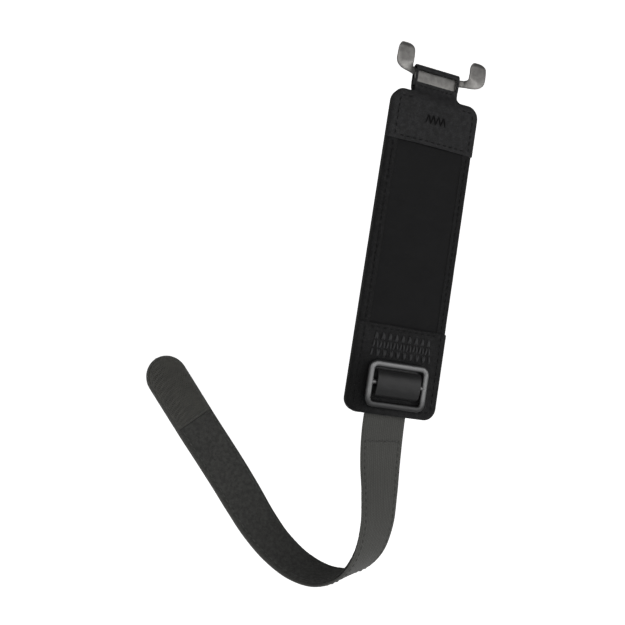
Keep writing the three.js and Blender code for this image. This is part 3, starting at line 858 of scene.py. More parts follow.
BLACK_THREAD = thread("black_thread", base=0.008)
DARK_THREAD = thread("dark_thread", base=0.004)
# painted highlight: the zig-zag thread is coloured about four times lighter than the other black
# thread, standing in for light caught on its raised ribs
ZIGZAG_THREAD = thread("zigzag_thread", base=0.034, specular=0.3)
TAIL_THREAD = thread("tail_thread", base=0.075, tint=(1, 1, 0.95))
FOAM = foam("foam", base=0.06)


# ------------------------------------------------------------------ edge binding
# Outer skin of the binding, from its inner edge on the front, over the rim, to its inner
# edge on the back: insets that lie on the pad's front, then (inset, y) pairs.
BINDING_FRONT = (5.5, 5.2, 4.7, 4.1, 3.6, STITCH_INSET, 3.0, 2.6, 2.2, 1.7, 1.2, 0.8, 0.45,
                 0.2, 0.05)
BINDING_RIM = (
    (0.0, -4.5), (0.0, -3.9), (0.06, -3.3), (0.2, -2.7), (0.42, -2.1), (0.72, -1.55),
    (1.1, -1.05), (1.55, -0.62), (2.1, -0.26), (2.7, -0.05), (3.3, -0.07), (4.0, 0.05),
    (4.7, 0.05))


def make_binding():
    """Leather strip rolled over the pad's rim, front to back."""
    count, puckers, thick = 620, 118, 0.9
    pucker = np.cos(np.arange(count) * (2 * math.pi * puckers / count))
    columns = []
    for depth in BINDING_FRONT:
        x, z = pad_ring(depth, count).T
        y = front_y(x, z) + 0.10 * np.exp(-((depth - 5.4) / 0.35) ** 2)
        if depth < 5.3:
            # the rim puckers a little at each stitch
            y = y + 0.05 * pucker * math.exp(-((depth - STITCH_INSET) / 1.2) ** 2)
        columns.append(np.stack([x, y, z], 1))
    for depth, y in BINDING_RIM:
        x, z = pad_ring(depth, count).T
        columns.append(np.stack([x, np.full(count, y), z], 1))
    skin = np.stack(columns, axis=1)
    around = np.roll(skin, -1, 0) - np.roll(skin, 1, 0)
    normals = unit(np.cross(np.gradient(skin, axis=1), around))
    mid = (skin - normals * thick / 2).reshape(-1, 3)
    width = len(columns)
    faces = []
    for i in range(count):
        i2 = (i + 1) % count
        for j in range(width - 1):
            face = [i * width + j + 1, i2 * width + j + 1, i2 * width + j, i * width + j]
            # a gap at the bottom lets the strap through between the layers
            x, y, z = mid[face].mean(0)
            if not (abs(x + 0.6) < 11.35 and z < -PAD_HALF + 2.0 and -3.3 < y < -0.75):
                faces.append(face)
    uv = np.stack(np.meshgrid(np.arange(count) * 0.66, np.arange(width) * 0.8,
                              indexing="ij"), -1)
    ob = build_shell("edge_binding_leather", mid, normals.reshape(-1, 3), thick, faces,
                     uv.reshape(-1, 2), BINDING_LEATHER, bulge=0.3, sharp=60)
    fit(ob, "pad", "leather", "edge_binding")


# ------------------------------------------------------------------ padded panels
def cloth_puff(X, Z, pinned, target, frames, pressure, slack, seed):
    """Blow a pinned cloth grid up against its stitches; gives each point's rise in mm."""
    edge = np.minimum.reduce([X - X.min(), X.max() - X, Z - Z.min(), Z.max() - Z])
    fallback = target * (1 - np.exp(-np.clip(edge, 0, None) / 2.4))
    sim_scale = 0.02    # simulation metres for each mm
    start_rise = np.random.RandomState(seed).uniform(0, 0.0006, X.shape) + 0.0006
    verts = np.stack([X * sim_scale, Z * sim_scale, start_rise], -1).reshape(-1, 3)
    mesh = bpy.data.meshes.new("puff_cloth")
    mesh.from_pydata(verts.tolist(), [], grid_faces(*X.shape))
    ob = bpy.data.objects.new("puff_cloth", mesh)
    SCENE.collection.objects.link(ob)
    group = ob.vertex_groups.new(name="stitched")
    group.add([int(i) for i in np.flatnonzero(pinned.reshape(-1))], 1.0, "REPLACE")
    modifier = ob.modifiers.new("Cloth", "CLOTH")
    cloth = modifier.settings
    cloth.quality = 6
    cloth.mass = 0.25
    cloth.tension_stiffness = cloth.compression_stiffness = 22.0
    cloth.shear_stiffness = 8.0
    cloth.bending_stiffness = 0.35
    cloth.air_damping = 2.0
    cloth.use_pressure = True
    cloth.uniform_pressure_force = pressure
    cloth.shrink_min = cloth.shrink_max = -slack
    cloth.vertex_group_mass = "stitched"
    cloth.effector_weights.gravity = 0.0
    modifier.point_cache.frame_start = 1
    modifier.point_cache.frame_end = frames
    for number in range(1, frames + 1):
        SCENE.frame_set(number)
    evaluated = ob.evaluated_get(bpy.context.evaluated_depsgraph_get())
    settled = np.zeros(len(verts) * 3)
    evaluated.to_mesh().vertices.foreach_get("co", settled)
    rise = settled.reshape(*X.shape, 3)[..., 2] / sim_scale
    evaluated.to_mesh_clear()
    bpy.data.objects.remove(ob)
    bpy.data.meshes.remove(mesh)
    SCENE.frame_set(1)
    top = np.percentile(rise, 97)
    # guards against a simulation that blew up or stayed flat
    if not np.isfinite(top) or top < 1e-3:
        return fallback
    rise = rise * (target / top)
    # high spots are eased towards a limit a little above the target
    limit = target * 1.12
    return np.clip(limit * np.tanh(rise / limit), 0, None) * 1.12


def sample_grid(values, x0, x1, z0, z1, X, Z):
    """Bilinear sample of values, laid out evenly over a box, at the points X, Z."""
    nx, nz = values.shape
    fx = np.clip((X - x0) / (x1 - x0) * (nx - 1), 0, nx - 1.001)
    fz = np.clip((Z - z0) / (z1 - z0) * (nz - 1), 0, nz - 1.001)
    i, j = fx.astype(int), fz.astype(int)
    u, v = fx - i, fz - j
    return (values[i, j] * (1 - u) * (1 - v) + values[i + 1, j] * u * (1 - v)
            + values[i, j + 1] * (1 - u) * v + values[i + 1, j + 1] * u * v)


def pad_grid(margin, columns, rows):
    """X and Z of a grid that fills the pad to within margin of its sides."""
    u = np.linspace(-1, 1, columns)
    z = np.linspace(-PAD_HALF + margin, PAD_HALF - margin, rows)
    U, Z = np.meshgrid(u, z, indexing="ij")
    return U * (half_width(Z) - margin), Z


def make_cover():
    """Front panel, puffed out between cap and patch."""
    overlap, side = 1.6, 5.0    # panel under cap and patch; seam in from the pad's sides
    z0, z1 = PATCH_Z - overlap, CAP_Z + overlap
    rows = int(round((z1 - z0) / (PITCH / 3))) + 1
    U, Z = np.meshgrid(np.linspace(-1, 1, 35), np.linspace(z0, z1, rows), indexing="ij")
    X = U * (half_width(Z) - side)
    pinned = np.zeros(X.shape, bool)
    pinned[0, ::3] = pinned[-1, ::3] = True
    pinned[::2, 0] = pinned[::2, -1] = True
    rise = cloth_puff(X, Z, pinned, target=1.25, frames=22, pressure=1.1, slack=0.012, seed=3)
    X, Z = pad_grid(4.3, 61, 261)
    share = np.clip(X / (half_width(Z) - side), -1, 1)
    puff = sample_grid(rise, -1, 1, z0, z1, share, Z)
    live = smooth(z0, PATCH_Z - 1.0, Z) * (1 - smooth(CAP_Z + 1.0, z1, Z))
    Y = -(6.08 + puff * live + 0.05 * wobble(X, Z, 22, 3))
    ob = sheet("front_cover_panel", np.stack([X, Y, Z], -1), 0.8, COVER_CLOTH, outward=FRONT)
    fit(ob, "pad", "cover_cloth", "front_cover")


LINING_HW = 19.9                # half width of the puffed part of the lining
LINING_Z = PAD_HALF - 4.2       # its upper and lower ends
SEWN_X = (-10.6, 9.4)           # two sewn lines that hold the inner webbing
STRAP_BOX_X = (-9.0, 7.8)       # sides of the sewn boxes
STRAP_BOX_Z = ((-72, -56), (58, 72))


def lining_rise():
    """Rise of the lining between its border and the sewn lines, on an even grid."""
    low, high = SEWN_X
    x = np.concatenate([np.linspace(-LINING_HW, low, 9), np.linspace(low, high, 19)[1:],
                        np.linspace(high, LINING_HW, 10)[1:]])
    z = np.linspace(-LINING_Z, LINING_Z, int((LINING_Z - -LINING_Z) / 1.15))
    X, Z = np.meshgrid(x, z, indexing="ij")
    pinned = np.zeros(X.shape, bool)
    pinned[0] = pinned[-1] = True
    pinned[:, 0] = pinned[:, -1] = True
    for line_x in SEWN_X:
        pinned[np.argmin(np.abs(x - line_x)), ::3] = True
    rise = cloth_puff(X, Z, pinned, target=0.62, frames=18, pressure=1.0, slack=0.01, seed=8)
    even = np.linspace(-LINING_HW, LINING_HW, 61)
    return np.stack([np.interp(even, x, column) for column in rise.T], 1)


def make_lining():
    """Palm side panel and the stitches through it."""
    rise = lining_rise()

    def puff(x, z):
        return sample_grid(rise, -LINING_HW, LINING_HW, -LINING_Z, LINING_Z, x, z)

    margin = 3.9
    X, Z = pad_grid(margin, 61, 221)
    live = (smooth(20.4, 19.6, np.abs(X)) * smooth(-LINING_Z - 0.1, -LINING_Z + 0.8, Z)
            * smooth(LINING_Z + 0.1, LINING_Z - 0.8, Z))
    edge = np.clip(inset(X, Z) - margin, 0, None)
    thick = 0.7
    Y = -1.25 + 1.1 * (1 - np.exp(-edge / 1.6)) + puff(X, Z) * live - thick / 2
    ob = sheet("palm_lining_panel", np.stack([X, Y, Z], -1), thick, LINING_CLOTH, outward=BACK)
    fit(ob, "pad", "lining_cloth", "back_lining")

    threads = Threads()

    def sew(x, z, **size):
        threads.row(np.stack([x, -0.15 + puff(x, z), z], 1), BACK, **size)

    for line_x in SEWN_X:
        z = np.linspace(-73, 73, 150)
        sew(np.full(len(z), line_x), z, pitch=3.2, r=0.25, rise=0.16)
    # box and cross where the strap's ends are sewn through
    left, right = STRAP_BOX_X
    share = np.linspace(0, 1, 12)
    for low, high in STRAP_BOX_Z:
        outline = [(left, low), (right, low), (right, high), (left, high), (left, low),
                   (right, high)]
        for line in (outline, [(right, low), (left, high)]):
            for (xa, za), (xb, zb) in zip(line[:-1], line[1:]):
                sew(xa * (1 - share) + xb * share, za * (1 - share) + zb * share,
                    pitch=2.8, r=0.24, rise=0.14)
    fit(threads.build("palm_lining_stitches", BLACK_THREAD), "pad", "thread")


def make_core():
    """Foam and inner webbing, inside the pad."""
    margin = 4.6
    X, Z = pad_grid(margin, 33, 101)
    edge = np.clip(inset(X, Z) - margin, 0, None)
    thick = 1.0 + 1.5 * (1 - np.exp(-edge / 2.0))
    points = np.stack([X, np.full_like(X, -4.45), Z], -1)
    ob = sheet("foam_insert", points, thick, FOAM, outward=FRONT)
    fit(ob, "pad", "foam", "foam_core")

    U, Z = np.meshgrid(np.linspace(-11, 11, 41), np.linspace(-70, 76, 140), indexing="ij")
    ribs = 0.05 * np.cos(U * 2 * math.pi / 1.05)
    points = np.stack([U - 0.6, -1.95 + ribs, Z], -1)
    ob = sheet("inner_webbing", points, 1.3, WEBBING, np.stack([U, Z], -1), outward=FRONT)
    fit(ob, "pad", "webbing", "load_webbing")


# ------------------------------------------------------------------ cap and neck
def cap_lift(x, s):
    """Lay the cap's flat outline up the pad, up the neck, over the fold and down its back."""
    x, s = np.asarray(x, float), np.asarray(s, float)
    z = np.minimum(s, FOLD_Z)
    cap_y = front_y(x, np.minimum(z, PAD_HALF - 0.02), lift=LEATHER_LIFT)
    neck_y = FRONT_LEAF + (-7.55 - FRONT_LEAF) * (1 - smooth(74.5, 83.0, z))
    neck = 1 - smooth(NECK_HW - 0.6, NECK_HW + 3.0, np.abs(x))
    neck = neck * smooth(72.0, 77.5, z)
    neck = np.where(z > PAD_HALF - 0.1, 1.0, neck)
    y = cap_y * (1 - neck) + neck_y * neck
    turn = np.clip((s - FOLD_Z) / FOLD_R, 0, math.pi)
    over = s > FOLD_Z
    y = np.where(over, (FRONT_LEAF + BACK_LEAF) / 2 - FOLD_R * np.cos(turn), y)
    z = np.where(over, FOLD_Z + FOLD_R * np.sin(turn), z)
    fallen = s - FOLD_END
    y = np.where(fallen > 0, BACK_LEAF - 1.7 * smooth(8.4, 12.5, fallen), y)
    z = np.where(fallen > 0, FOLD_Z - fallen, z)
    return np.stack([x, y, z], 1)


def cap_outline():
    cap_hw = float(half_width(CAP_Z)) - LEATHER_MARGIN
    top_hw = float(half_width(PAD_HALF)) - LEATHER_MARGIN
    top = PAD_HALF - LEATHER_MARGIN
    r, fillet = CORNER_R - LEATHER_MARGIN, 2.6
    back_hw = LOOP_BACK_HW - 0.35
    right = [(cap_hw, CAP_Z)] + arc(top_hw - r, top - r, r, 0, 90, 10)
    right += [(NECK_HW + fillet + 0.4, top)]
    right += arc(NECK_HW + fillet, top + fillet, fillet, 270, 180, 6)
    right += [
        (NECK_HW, 82.4), (LOOP_SIDE_HW - 0.15, 84.6), (LOOP_SIDE_HW, 85.6),
        (LOOP_SIDE_HW, FOLD_Z), (back_hw, FOLD_Z + 0.55 * math.pi * FOLD_R),
        (back_hw, FOLD_END), (back_hw, FOLD_END + 6.0), (NECK_HW, FOLD_END + 9.5),
        (NECK_HW, FOLD_END + (FOLD_Z - 75.0))]
    return right + mirrored(right)


def cap_window():
    """Window in the loop's front leaf."""
    left, right, bottom, top, r = -11.25, 10.95, 84.8, 91.3, 0.5
    centres = [(right - r, bottom + r), (right - r, top - r), (left + r, top - r),
               (left + r, bottom + r)]
    return round_corners(centres, r, 3)


def make_cap():
    """Cap and neck, one piece of leather."""
    ob = plate("cap_and_neck_leather", cap_outline(), [cap_window()], cap_lift,
               lambda s: 0.98 - 0.16 * smooth(78.0, 82.0, s), CAP_LEATHER,
               rings=(0.3, 0.8, 1.3))
    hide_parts("top_cap", "clip_loop")
    ob["crosses"] = "neck_flex"
    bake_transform(ob)


def make_gussets():
    """Narrow leather gussets close the sides of the loop below the clip's arms."""
    middle = (FRONT_LEAF + BACK_LEAF) / 2
    stations = ((83.6, 0.7), (83.75, 0.95), (84.6, 1.0), (85.6, 1.0), (86.55, 0.95),
                (86.7, 0.7))    # z, fullness
    for sign, side in ((-1, "left"), (1, "right")):
        sections = []
        for z, full in stations:
            shape = superellipse(0.15 * full, 1.7 * (0.9 + 0.1 * full), 20, 4.0)
            sections.append([(sign * 11.66 + a, middle + b, z) for a, b in shape])
        ob = loft("loop_gusset_" + side, sections, CAP_LEATHER, sharp=50)
        fit(ob, "neck", "leather")


def sew_across(threads, lift, edge_z, row_z):
    """A row of stitches across the pad, next to the straight edge at edge_z."""
    reach = float(half_width(edge_z)) - STITCH_INSET - 2.2
    threads.row(on_surface(lift, np.linspace(-reach, reach, 50), row_z), FRONT)


def make_cap_stitches():
    threads = Threads()
    path = [(float(half_width(z)) - STITCH_INSET, z)
            for z in np.linspace(CAP_Z + 1.0, PAD_HALF - 6.5, 60)]
    path += arc(float(half_width(72.0)) - CORNER_R, PAD_HALF - CORNER_R,
                CORNER_R - STITCH_INSET, 0, 90, 10)
    path += [(NECK_HW + 1.6, PAD_HALF - STITCH_INSET)]
    x, z = np.array(path).T
    for sign in (-1, 1):
        threads.row(on_surface(cap_lift, sign * x, z), FRONT)
    sew_across(threads, cap_lift, CAP_Z, CAP_Z + 1.5)
    fit(threads.build("cap_stitches", BLACK_THREAD), "pad", "thread")


def make_cap_bartack():
    """Zig-zag bar-tack in the middle of the cap."""
    threads = Threads()
    low, high = cad_box("cap_bartack_thread")
    count = 8
    ends = [low[2] + 0.4, high[2] - 0.4]
    for i in range(count):
        x = [low[0] + (high[0] - low[0]) * k / count for k in (i, i + 1)]
        z = ends if i % 2 == 0 else ends[::-1]
        start, end = on_surface(cap_lift, x, z)
        threads.stitch(start, end, FRONT, r=0.34, rise=0.2, rings=9)
    fit(threads.build("cap_bartack", DARK_THREAD), "pad", "thread", "cap_bartack_thread")


def make_loop_seam():
    """Seam below the window."""
    threads = Threads()
    low, high = cad_box("loop_seam_thread")
    seam = on_surface(cap_lift, np.linspace(-9.4, 9.4, 40), (low[2] + high[2]) / 2)
    threads.row(seam, FRONT, pitch=2.5, r=0.24, rise=0.15)
    fit(threads.build("loop_seam", BLACK_THREAD), "neck", "thread", "loop_seam_thread")


# ------------------------------------------------------------------ bottom patch
def patch_lift(x, s):
    x, s = np.asarray(x, float), np.asarray(s, float)
    y = front_y(x, s, lift=LEATHER_LIFT)
    # the dense zig-zag rows pull the leather down between ribs
    zone = (smooth(-52.6, -50.8, s) * (1 - smooth(-39.6, -38.2, s))
            * (1 - smooth(15.5, 17.5, np.abs(x))))
    y = y + zone * (0.16 + 0.14 * np.cos(2 * math.pi * x / 2.9))
    slit = np.exp(-((s + 52.9) / 0.6) ** 2) * (1 - smooth(11.7, 12.6, np.abs(x - BUCKLE_X)))
    return np.stack([x, y + 0.5 * slit, s], 1)


def make_patch():
    bottom = -PAD_HALF + LEATHER_MARGIN
    bottom_hw = float(half_width(-PAD_HALF)) - LEATHER_MARGIN
    top_hw = float(half_width(PATCH_Z)) - LEATHER_MARGIN
    r = CORNER_R - LEATHER_MARGIN
    outline = arc(bottom_hw - r, bottom + r, r, -90, 0, 10)
    outline += [(top_hw, PATCH_Z), (-top_hw, PATCH_Z)]
    outline += arc(-(bottom_hw - r), bottom + r, r, 180, 270, 10)
    ob = plate("bottom_patch_leather", outline, [], patch_lift, 1.0, PATCH_LEATHER)
    fit(ob, "pad", "leather", "bottom_patch")


def make_patch_stitches():
    threads = Threads()
    right = [(float(half_width(z)) - STITCH_INSET, z)
             for z in np.linspace(PATCH_Z - 1.0, -PAD_HALF + CORNER_R, 60)]
    right += arc(float(half_width(-72)) - CORNER_R, -PAD_HALF + CORNER_R,
                 CORNER_R - STITCH_INSET, 0, -90, 8)
    x, z = np.array(right + mirrored(right)).T
    threads.row(on_surface(patch_lift, x, z), FRONT)
    sew_across(threads, patch_lift, PATCH_Z, PATCH_Z - 1.5)
    fit(threads.build("patch_stitches", BLACK_THREAD), "pad", "thread")


def make_zigzag():
    """Dense zig-zag rows above the buckle, three stitches to a stroke."""
    threads = Threads()
    low, high, strokes, cuts = -51.6, -39.4, 18, 3
    xs = np.linspace(-16.0, 16.0, strokes + 1)
    for i in range(strokes):
        start_z, end_z = (low, high) if i % 2 == 0 else (high, low)
        for k in range(cuts):
            share = np.array([k + 0.06, k + 0.94]) / cuts
            start, end = on_surface(patch_lift, xs[i] + (xs[i + 1] - xs[i]) * share,
                                    start_z + (end_z - start_z) * share, proud=0.52)
            threads.stitch(start, end, FRONT, r=0.50, rise=0.34)
    ob = threads.build("zigzag_stitches", ZIGZAG_THREAD)
    fit(ob, "pad", "thread", "zigzag_seam_thread")


def make_side_stitches():
    """Rows down the binding's sides between cap and patch, and the row round its back."""
    threads = Threads()
    for sign in (-1, 1):
        z = np.linspace(PATCH_Z + 1.5, CAP_Z - 1.5, 120)
        x = sign * (half_width(z) - STITCH_INSET)
        threads.row(np.stack([x, front_y(x, z), z], 1), FRONT)
    ob = threads.build("binding_stitches", BLACK_THREAD)
    fit(ob, "pad", "thread", "panel_seam_thread")

    threads = Threads()
    around = pad_ring(STITCH_INSET, 700)
    x, z = np.vstack([around, around[:1]]).T
    threads.row(np.stack([x, np.full(len(x), -0.08), z], 1), BACK)
    fit(threads.build("binding_back_stitches", BLACK_THREAD), "pad", "thread")


# ------------------------------------------------------------------ hook clip
PIN_Z = 87.95               # middle of the plate that lies in the loop
HOOK_X, HOOK_Y = 20.3, -6.2
HOOK_TOP_R = 2.6            # bend over the top of the hook
# From the middle of the plate out along the arm: x, y from LOOP_Y, z, half width, half
# thickness.
ARM_STATIONS = (
    (0.0, 0, PIN_Z, 4.05, 0.8), (6.0, 0, PIN_Z, 4.05, 0.8), (10.9, 0, PIN_Z, 4.05, 0.8),
    (11.25, 0, PIN_Z + 0.05, 4.0, 0.8), (11.4, 0, PIN_Z + 0.8, 3.2, 0.8),
    (11.55, 0, PIN_Z + 1.65, 2.35, 0.8), (11.85, 0, 90.1, 1.85, 0.8),
    (12.7, -0.2, 90.2, 1.72, 0.82), (13.6, -0.75, 90.2, 1.72, 0.85))
# The arm fans out round its inner corner into the hook: angle, outer radius, y.
FAN_X, FAN_Z, FAN_INNER_R = 15.1, 92.5, 0.6
FAN_STATIONS = (
    (0, 4.1, -3.5), (12, 4.3, -4.1), (25, 4.75, -4.6), (35, 5.25, -5.0), (45, 5.95, -5.32),
    (55, 6.9, -5.6), (65, 7.95, -5.82), (73, 8.75, -5.98), (80, 9.3, -6.1),
    (86, 9.6, -6.17), (90, 9.72, -6.2))
# Up the hook's oval: y from HOOK_Y, z, half width, half thickness.
OVAL_STATIONS = ((-0.03, 93.6, 4.58, 0.88), (-0.05, 95.2, 4.55, 0.86), (-0.05, 96.8, 4.48, 0.84))
# Over the top: angle round the bend, half width.
BEND_STATIONS = (
    (0, 4.25), (13, 4.05), (26, 3.74), (39, 3.36), (52, 2.95), (64, 2.55), (76, 2.2),
    (90, 2.0), (105, 1.95), (120, 1.95), (138, 1.85), (156, 1.75), (174, 1.55))
# Down to the tip: drop below the bend's centre, half width, half thickness.
TIP_STATIONS = ((0.8, 1.4, 0.75), (1.4, 1.15, 0.66), (1.9, 0.85, 0.5), (2.15, 0.4, 0.28))


def clip_stations():
    """Right half of the clip: centre, width direction, half width and half thickness."""
    def station(x, y, z, width_angle, half_w, half_t):
        a = math.radians(width_angle)
        return (x, y, z, -math.sin(a), 0, math.cos(a), half_w, half_t)

    rows = [station(x, LOOP_Y + y, z, 0, half_w, half_t)
            for x, y, z, half_w, half_t in ARM_STATIONS]
    for angle, outer, y in FAN_STATIONS:
        a = math.radians(angle)
        middle = (FAN_INNER_R + outer) / 2
        rows.append(station(FAN_X + middle * math.sin(a), y, FAN_Z - middle * math.cos(a),
                            angle, (outer - FAN_INNER_R) / 2, 0.88))
    rows += [station(HOOK_X, HOOK_Y + y, z, 90, half_w, half_t)
             for y, z, half_w, half_t in OVAL_STATIONS]
    bend_z = cad_box("hook_clip")[1][2] - 0.8 - HOOK_TOP_R
    for angle, half_w in BEND_STATIONS:
        a = math.radians(angle)
        rows.append(station(HOOK_X, HOOK_Y + HOOK_TOP_R - HOOK_TOP_R * math.cos(a),
                            bend_z + HOOK_TOP_R * math.sin(a), 90, half_w, 0.8))
    rows += [station(HOOK_X, HOOK_Y + 0.05 + 2 * HOOK_TOP_R, bend_z - drop, 90, half_w, half_t)
             for drop, half_w, half_t in TIP_STATIONS]
    return np.array(rows, float)


def spline_by_length(table, step):
    """Catmull-Rom through a table whose first three columns are places, by arc length."""
    along = lengths_along(table[:, :3])
    slopes = np.empty_like(table)
    slopes[1:-1] = (table[2:] - table[:-2]) / (along[2:] - along[:-2])[:, None]
    slopes[0] = (table[1] - table[0]) / (along[1] - along[0])
    slopes[-1] = (table[-1] - table[-2]) / (along[-1] - along[-2])
    rows = []
    for i in range(len(table) - 1):
        length = along[i + 1] - along[i]
        parts = max(1, int(math.ceil(length / step)))
        rows += [hermite(table[i], table[i + 1], slopes[i] * length, slopes[i + 1] * length,
                         k / parts) for k in range(parts)]
    return np.array(rows + [table[-1]])


def make_clip():
    """Steel clip: a plate in the loop, with an arm and a cupped hook on each side."""
    table = spline_by_length(clip_stations(), 0.55)
    centres, widths = table[:, :3], unit(table[:, 3:6])
    normals = unit(np.cross(widths, unit(np.gradient(centres, axis=0))))
    half = []
    for centre, width, normal, (half_w, half_t) in zip(centres, widths, normals, table[:, 6:]):
        shape = superellipse(half_w, half_t, 28, 3.6)
        # the upright oval is cupped: its middle stands back, its rim stands forward
        cup = 0.45 * smooth(90.5, 95.5, centre[2]) * (1 - smooth(99.0, 101.0, centre[2]))
        cup = cup if centre[1] < HOOK_Y + 1.5 else 0.0
        across = np.clip(shape[:, :1] / half_w, -1, 1)
        dish = cup * (0.45 - across ** 2) * np.array([[0.0, 1.0, 0.0]])
        half.append(centre + shape[:, :1] * width + shape[:, 1:] * normal + dish)
    other_half = [section * np.array([-1, 1, 1.0]) for section in reversed(half[1:])]
    ob = loft("steel_hook_clip", other_half + half, CLIP_STEEL, sharp=60)
    fit(ob, "clip", "clip_steel", "hook_clip")


# ------------------------------------------------------------------ buckle and keeper
def make_buckle():
    """Rounded rectangular frame with a round bar across it."""
    bar, r = 3.1, 2.9       # width of the frame's bar, corner radius of its centre line
    half_w = (BUCKLE_HI[0] - BUCKLE_LO[0]) / 2 - bar / 2
    half_h = (BUCKLE_HI[2] - BUCKLE_LO[2]) / 2 - bar / 2
    path, start = [], (-half_w + r, -half_h)
    # each row is one straight side and the corner at its end: steps, corner, arc start
    for steps, sx, sz, angle in ((24, 1, -1, -90), (16, 1, 1, 0), (24, -1, 1, 90),
                                 (16, -1, -1, 180)):
        corner = arc(sx * (half_w - r), sz * (half_h - r), r, angle, angle + 90, 10)
        (x0, z0), (x1, z1) = start, corner[0]
        path += [(x0 + (x1 - x0) * k / steps, z0 + (z1 - z0) * k / steps)
                 for k in range(steps)]
        path += corner[:-1]
        start = corner[-1]
    path = np.array(path)
    along = unit(np.roll(path, -1, 0) - np.roll(path, 1, 0))
    outward = np.stack([along[:, 1], -along[:, 0]], 1)
    across, depth = superellipse(bar / 2, 1.3, 28, 2.7).T
    sections = [np.stack([BUCKLE_X + x + ox * across, BUCKLE_Y + depth,
                          BUCKLE_Z + z + oz * across], 1)
                for (x, z), (ox, oz) in zip(path, outward)]
    ob = loft("buckle_frame", sections, BUCKLE_STEEL, sharp=60, closed=True)
    fit(ob, "buckle", "buckle_steel", "slide_buckle")

    reach = half_w - 0.2
    a = np.linspace(0, 2 * math.pi, 24, endpoint=False)
    sections = [
        np.stack([np.full(24, BUCKLE_X + x), BUCKLE_Y + radius * np.cos(a),
                  CENTRE_BAR_Z + radius * np.sin(a)], 1)
        for x, radius in ((-reach - 0.3, 1.0), (-reach, 1.3), (-reach + 2, 1.3), (0, 1.3),
                          (reach - 2, 1.3), (reach, 1.3), (reach + 0.3, 1.0))]
    ob = loft("buckle_centre_bar", sections, BUCKLE_STEEL, sharp=50)
    fit(ob, "buckle", "buckle_steel")


# Side view of the keeper, from its root on the patch: y, z.
KEEPER_PATH = (
    (-6.9, -50.6), (-7.25, -51.9), (-7.85, -53.2), (-8.15, -55.0), (-8.2, -58.0),
    (-8.15, -61.0), (-8.2, -64.5), (-8.45, -67.4), (-9.2, -69.2), (-10.4, -69.85),
    (-11.6, -69.2), (-12.45, -67.2), (-12.8, -64.8), (-12.85, -62.4), (-12.55, -60.0),
    (-11.85, -58.2), (-10.75, -57.35), (-9.7, -57.8), (-9.15, -59.2), (-9.05, -61.4))


def smooth_path(points, step):
    """Points along a Catmull-Rom curve, about step apart."""
    points = extend_ends(np.array(points, float))
    out = []
    for p0, p1, p2, p3 in zip(points, points[1:], points[2:], points[3:]):
        parts = max(2, int(np.linalg.norm(p2 - p1) / step))
        out += [hermite(p1, p2, 0.5 * (p2 - p0), 0.5 * (p3 - p1), k / parts)
                for k in range(parts)]
    out.append(points[-2])
    return np.array(out)


def make_keeper():
    """Satin band folded under and round the front of the buckle."""
    half_w = (KEEPER_HI[0] - KEEPER_LO[0]) / 2
    path = smooth_path(KEEPER_PATH, 0.45)
    y, z = path.T
    u = np.linspace(-1, 1, 47)[:, None]
    front = smooth(-11.0, -12.6, y)
    points = np.stack(np.broadcast_arrays(
        BUCKLE_X + u * (half_w - 0.25 + 0.18 * front),
        y - 0.14 * front * np.cos(u * math.pi / 2) + 0.04 * np.sin(u * 9 + z * 0.6) * front,
        z), -1)
    uv = np.stack(np.broadcast_arrays(u * half_w, lengths_along(path)), -1)
    ob = sheet("keeper_band", points, 0.62, SATIN, uv, bulge=0.3)
    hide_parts("buckle_keeper")
    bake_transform(ob)


# ------------------------------------------------------------------ tail: centre line
# Stations down the tail: centre x, y, z and width direction x, y, z.
TAIL = np.array([
    [-0.6, -2.0, -72.8, 1.000, 0.000, 0.000], [-0.3, -1.9, -87.7, 0.999, -0.020, 0.020],
    [0.9, -2.0, -102.6, 0.997, 0.066, 0.019], [1.8, -4.3, -117.2, 0.974, 0.224, -0.016],
    [2.0, -6.4, -132.0, 0.935, 0.354, -0.036], [0.5, -4.4, -146.6, 0.881, 0.473, -0.013],
    [-4.0, 3.2, -158.4, 0.807, 0.583, 0.089], [-11.8, 14.4, -163.9, 0.745, 0.619, 0.247],
    [-21.7, 25.3, -162.2, 0.720, 0.576, 0.387], [-32.1, 33.3, -155.1, 0.722, 0.485, 0.493],
    [-42.1, 37.6, -145.0, 0.741, 0.363, 0.564], [-51.6, 39.3, -133.6, 0.758, 0.273, 0.593],
    [-61.1, 40.6, -122.1, 0.760, 0.259, 0.596], [-70.7, 42.8, -110.8, 0.759, 0.262, 0.594],
    [-80.3, 45.1, -99.6, 0.760, 0.260, 0.596], [-89.8, 46.8, -88.2, 0.760, 0.262, 0.596],
    [-99.5, 49.0, -77.0, 0.757, 0.275, 0.592],
    [-105.65, 50.39, -69.90, 0.757, 0.275, 0.592]])


def centripetal(p0, p1, p2, p3, t):
    """Centripetal Catmull-Rom point between p1 and p2."""
    d0, d1, d2 = (max(np.dot(b - a, b - a) ** 0.25, 1e-4)
                  for a, b in ((p0, p1), (p1, p2), (p2, p3)))
    slope0 = ((p1 - p0) / d0 - (p2 - p0) / (d0 + d1) + (p2 - p1) / d1) * d1
    slope1 = ((p2 - p1) / d1 - (p3 - p1) / (d1 + d2) + (p3 - p2) / d2) * d1
    return hermite(p1, p2, slope0, slope1, t)


def square_to(vectors, axes):
    """Unit vectors with their part along the axes taken out."""
    return unit(vectors - np.sum(vectors * axes, 1, keepdims=True) * axes)


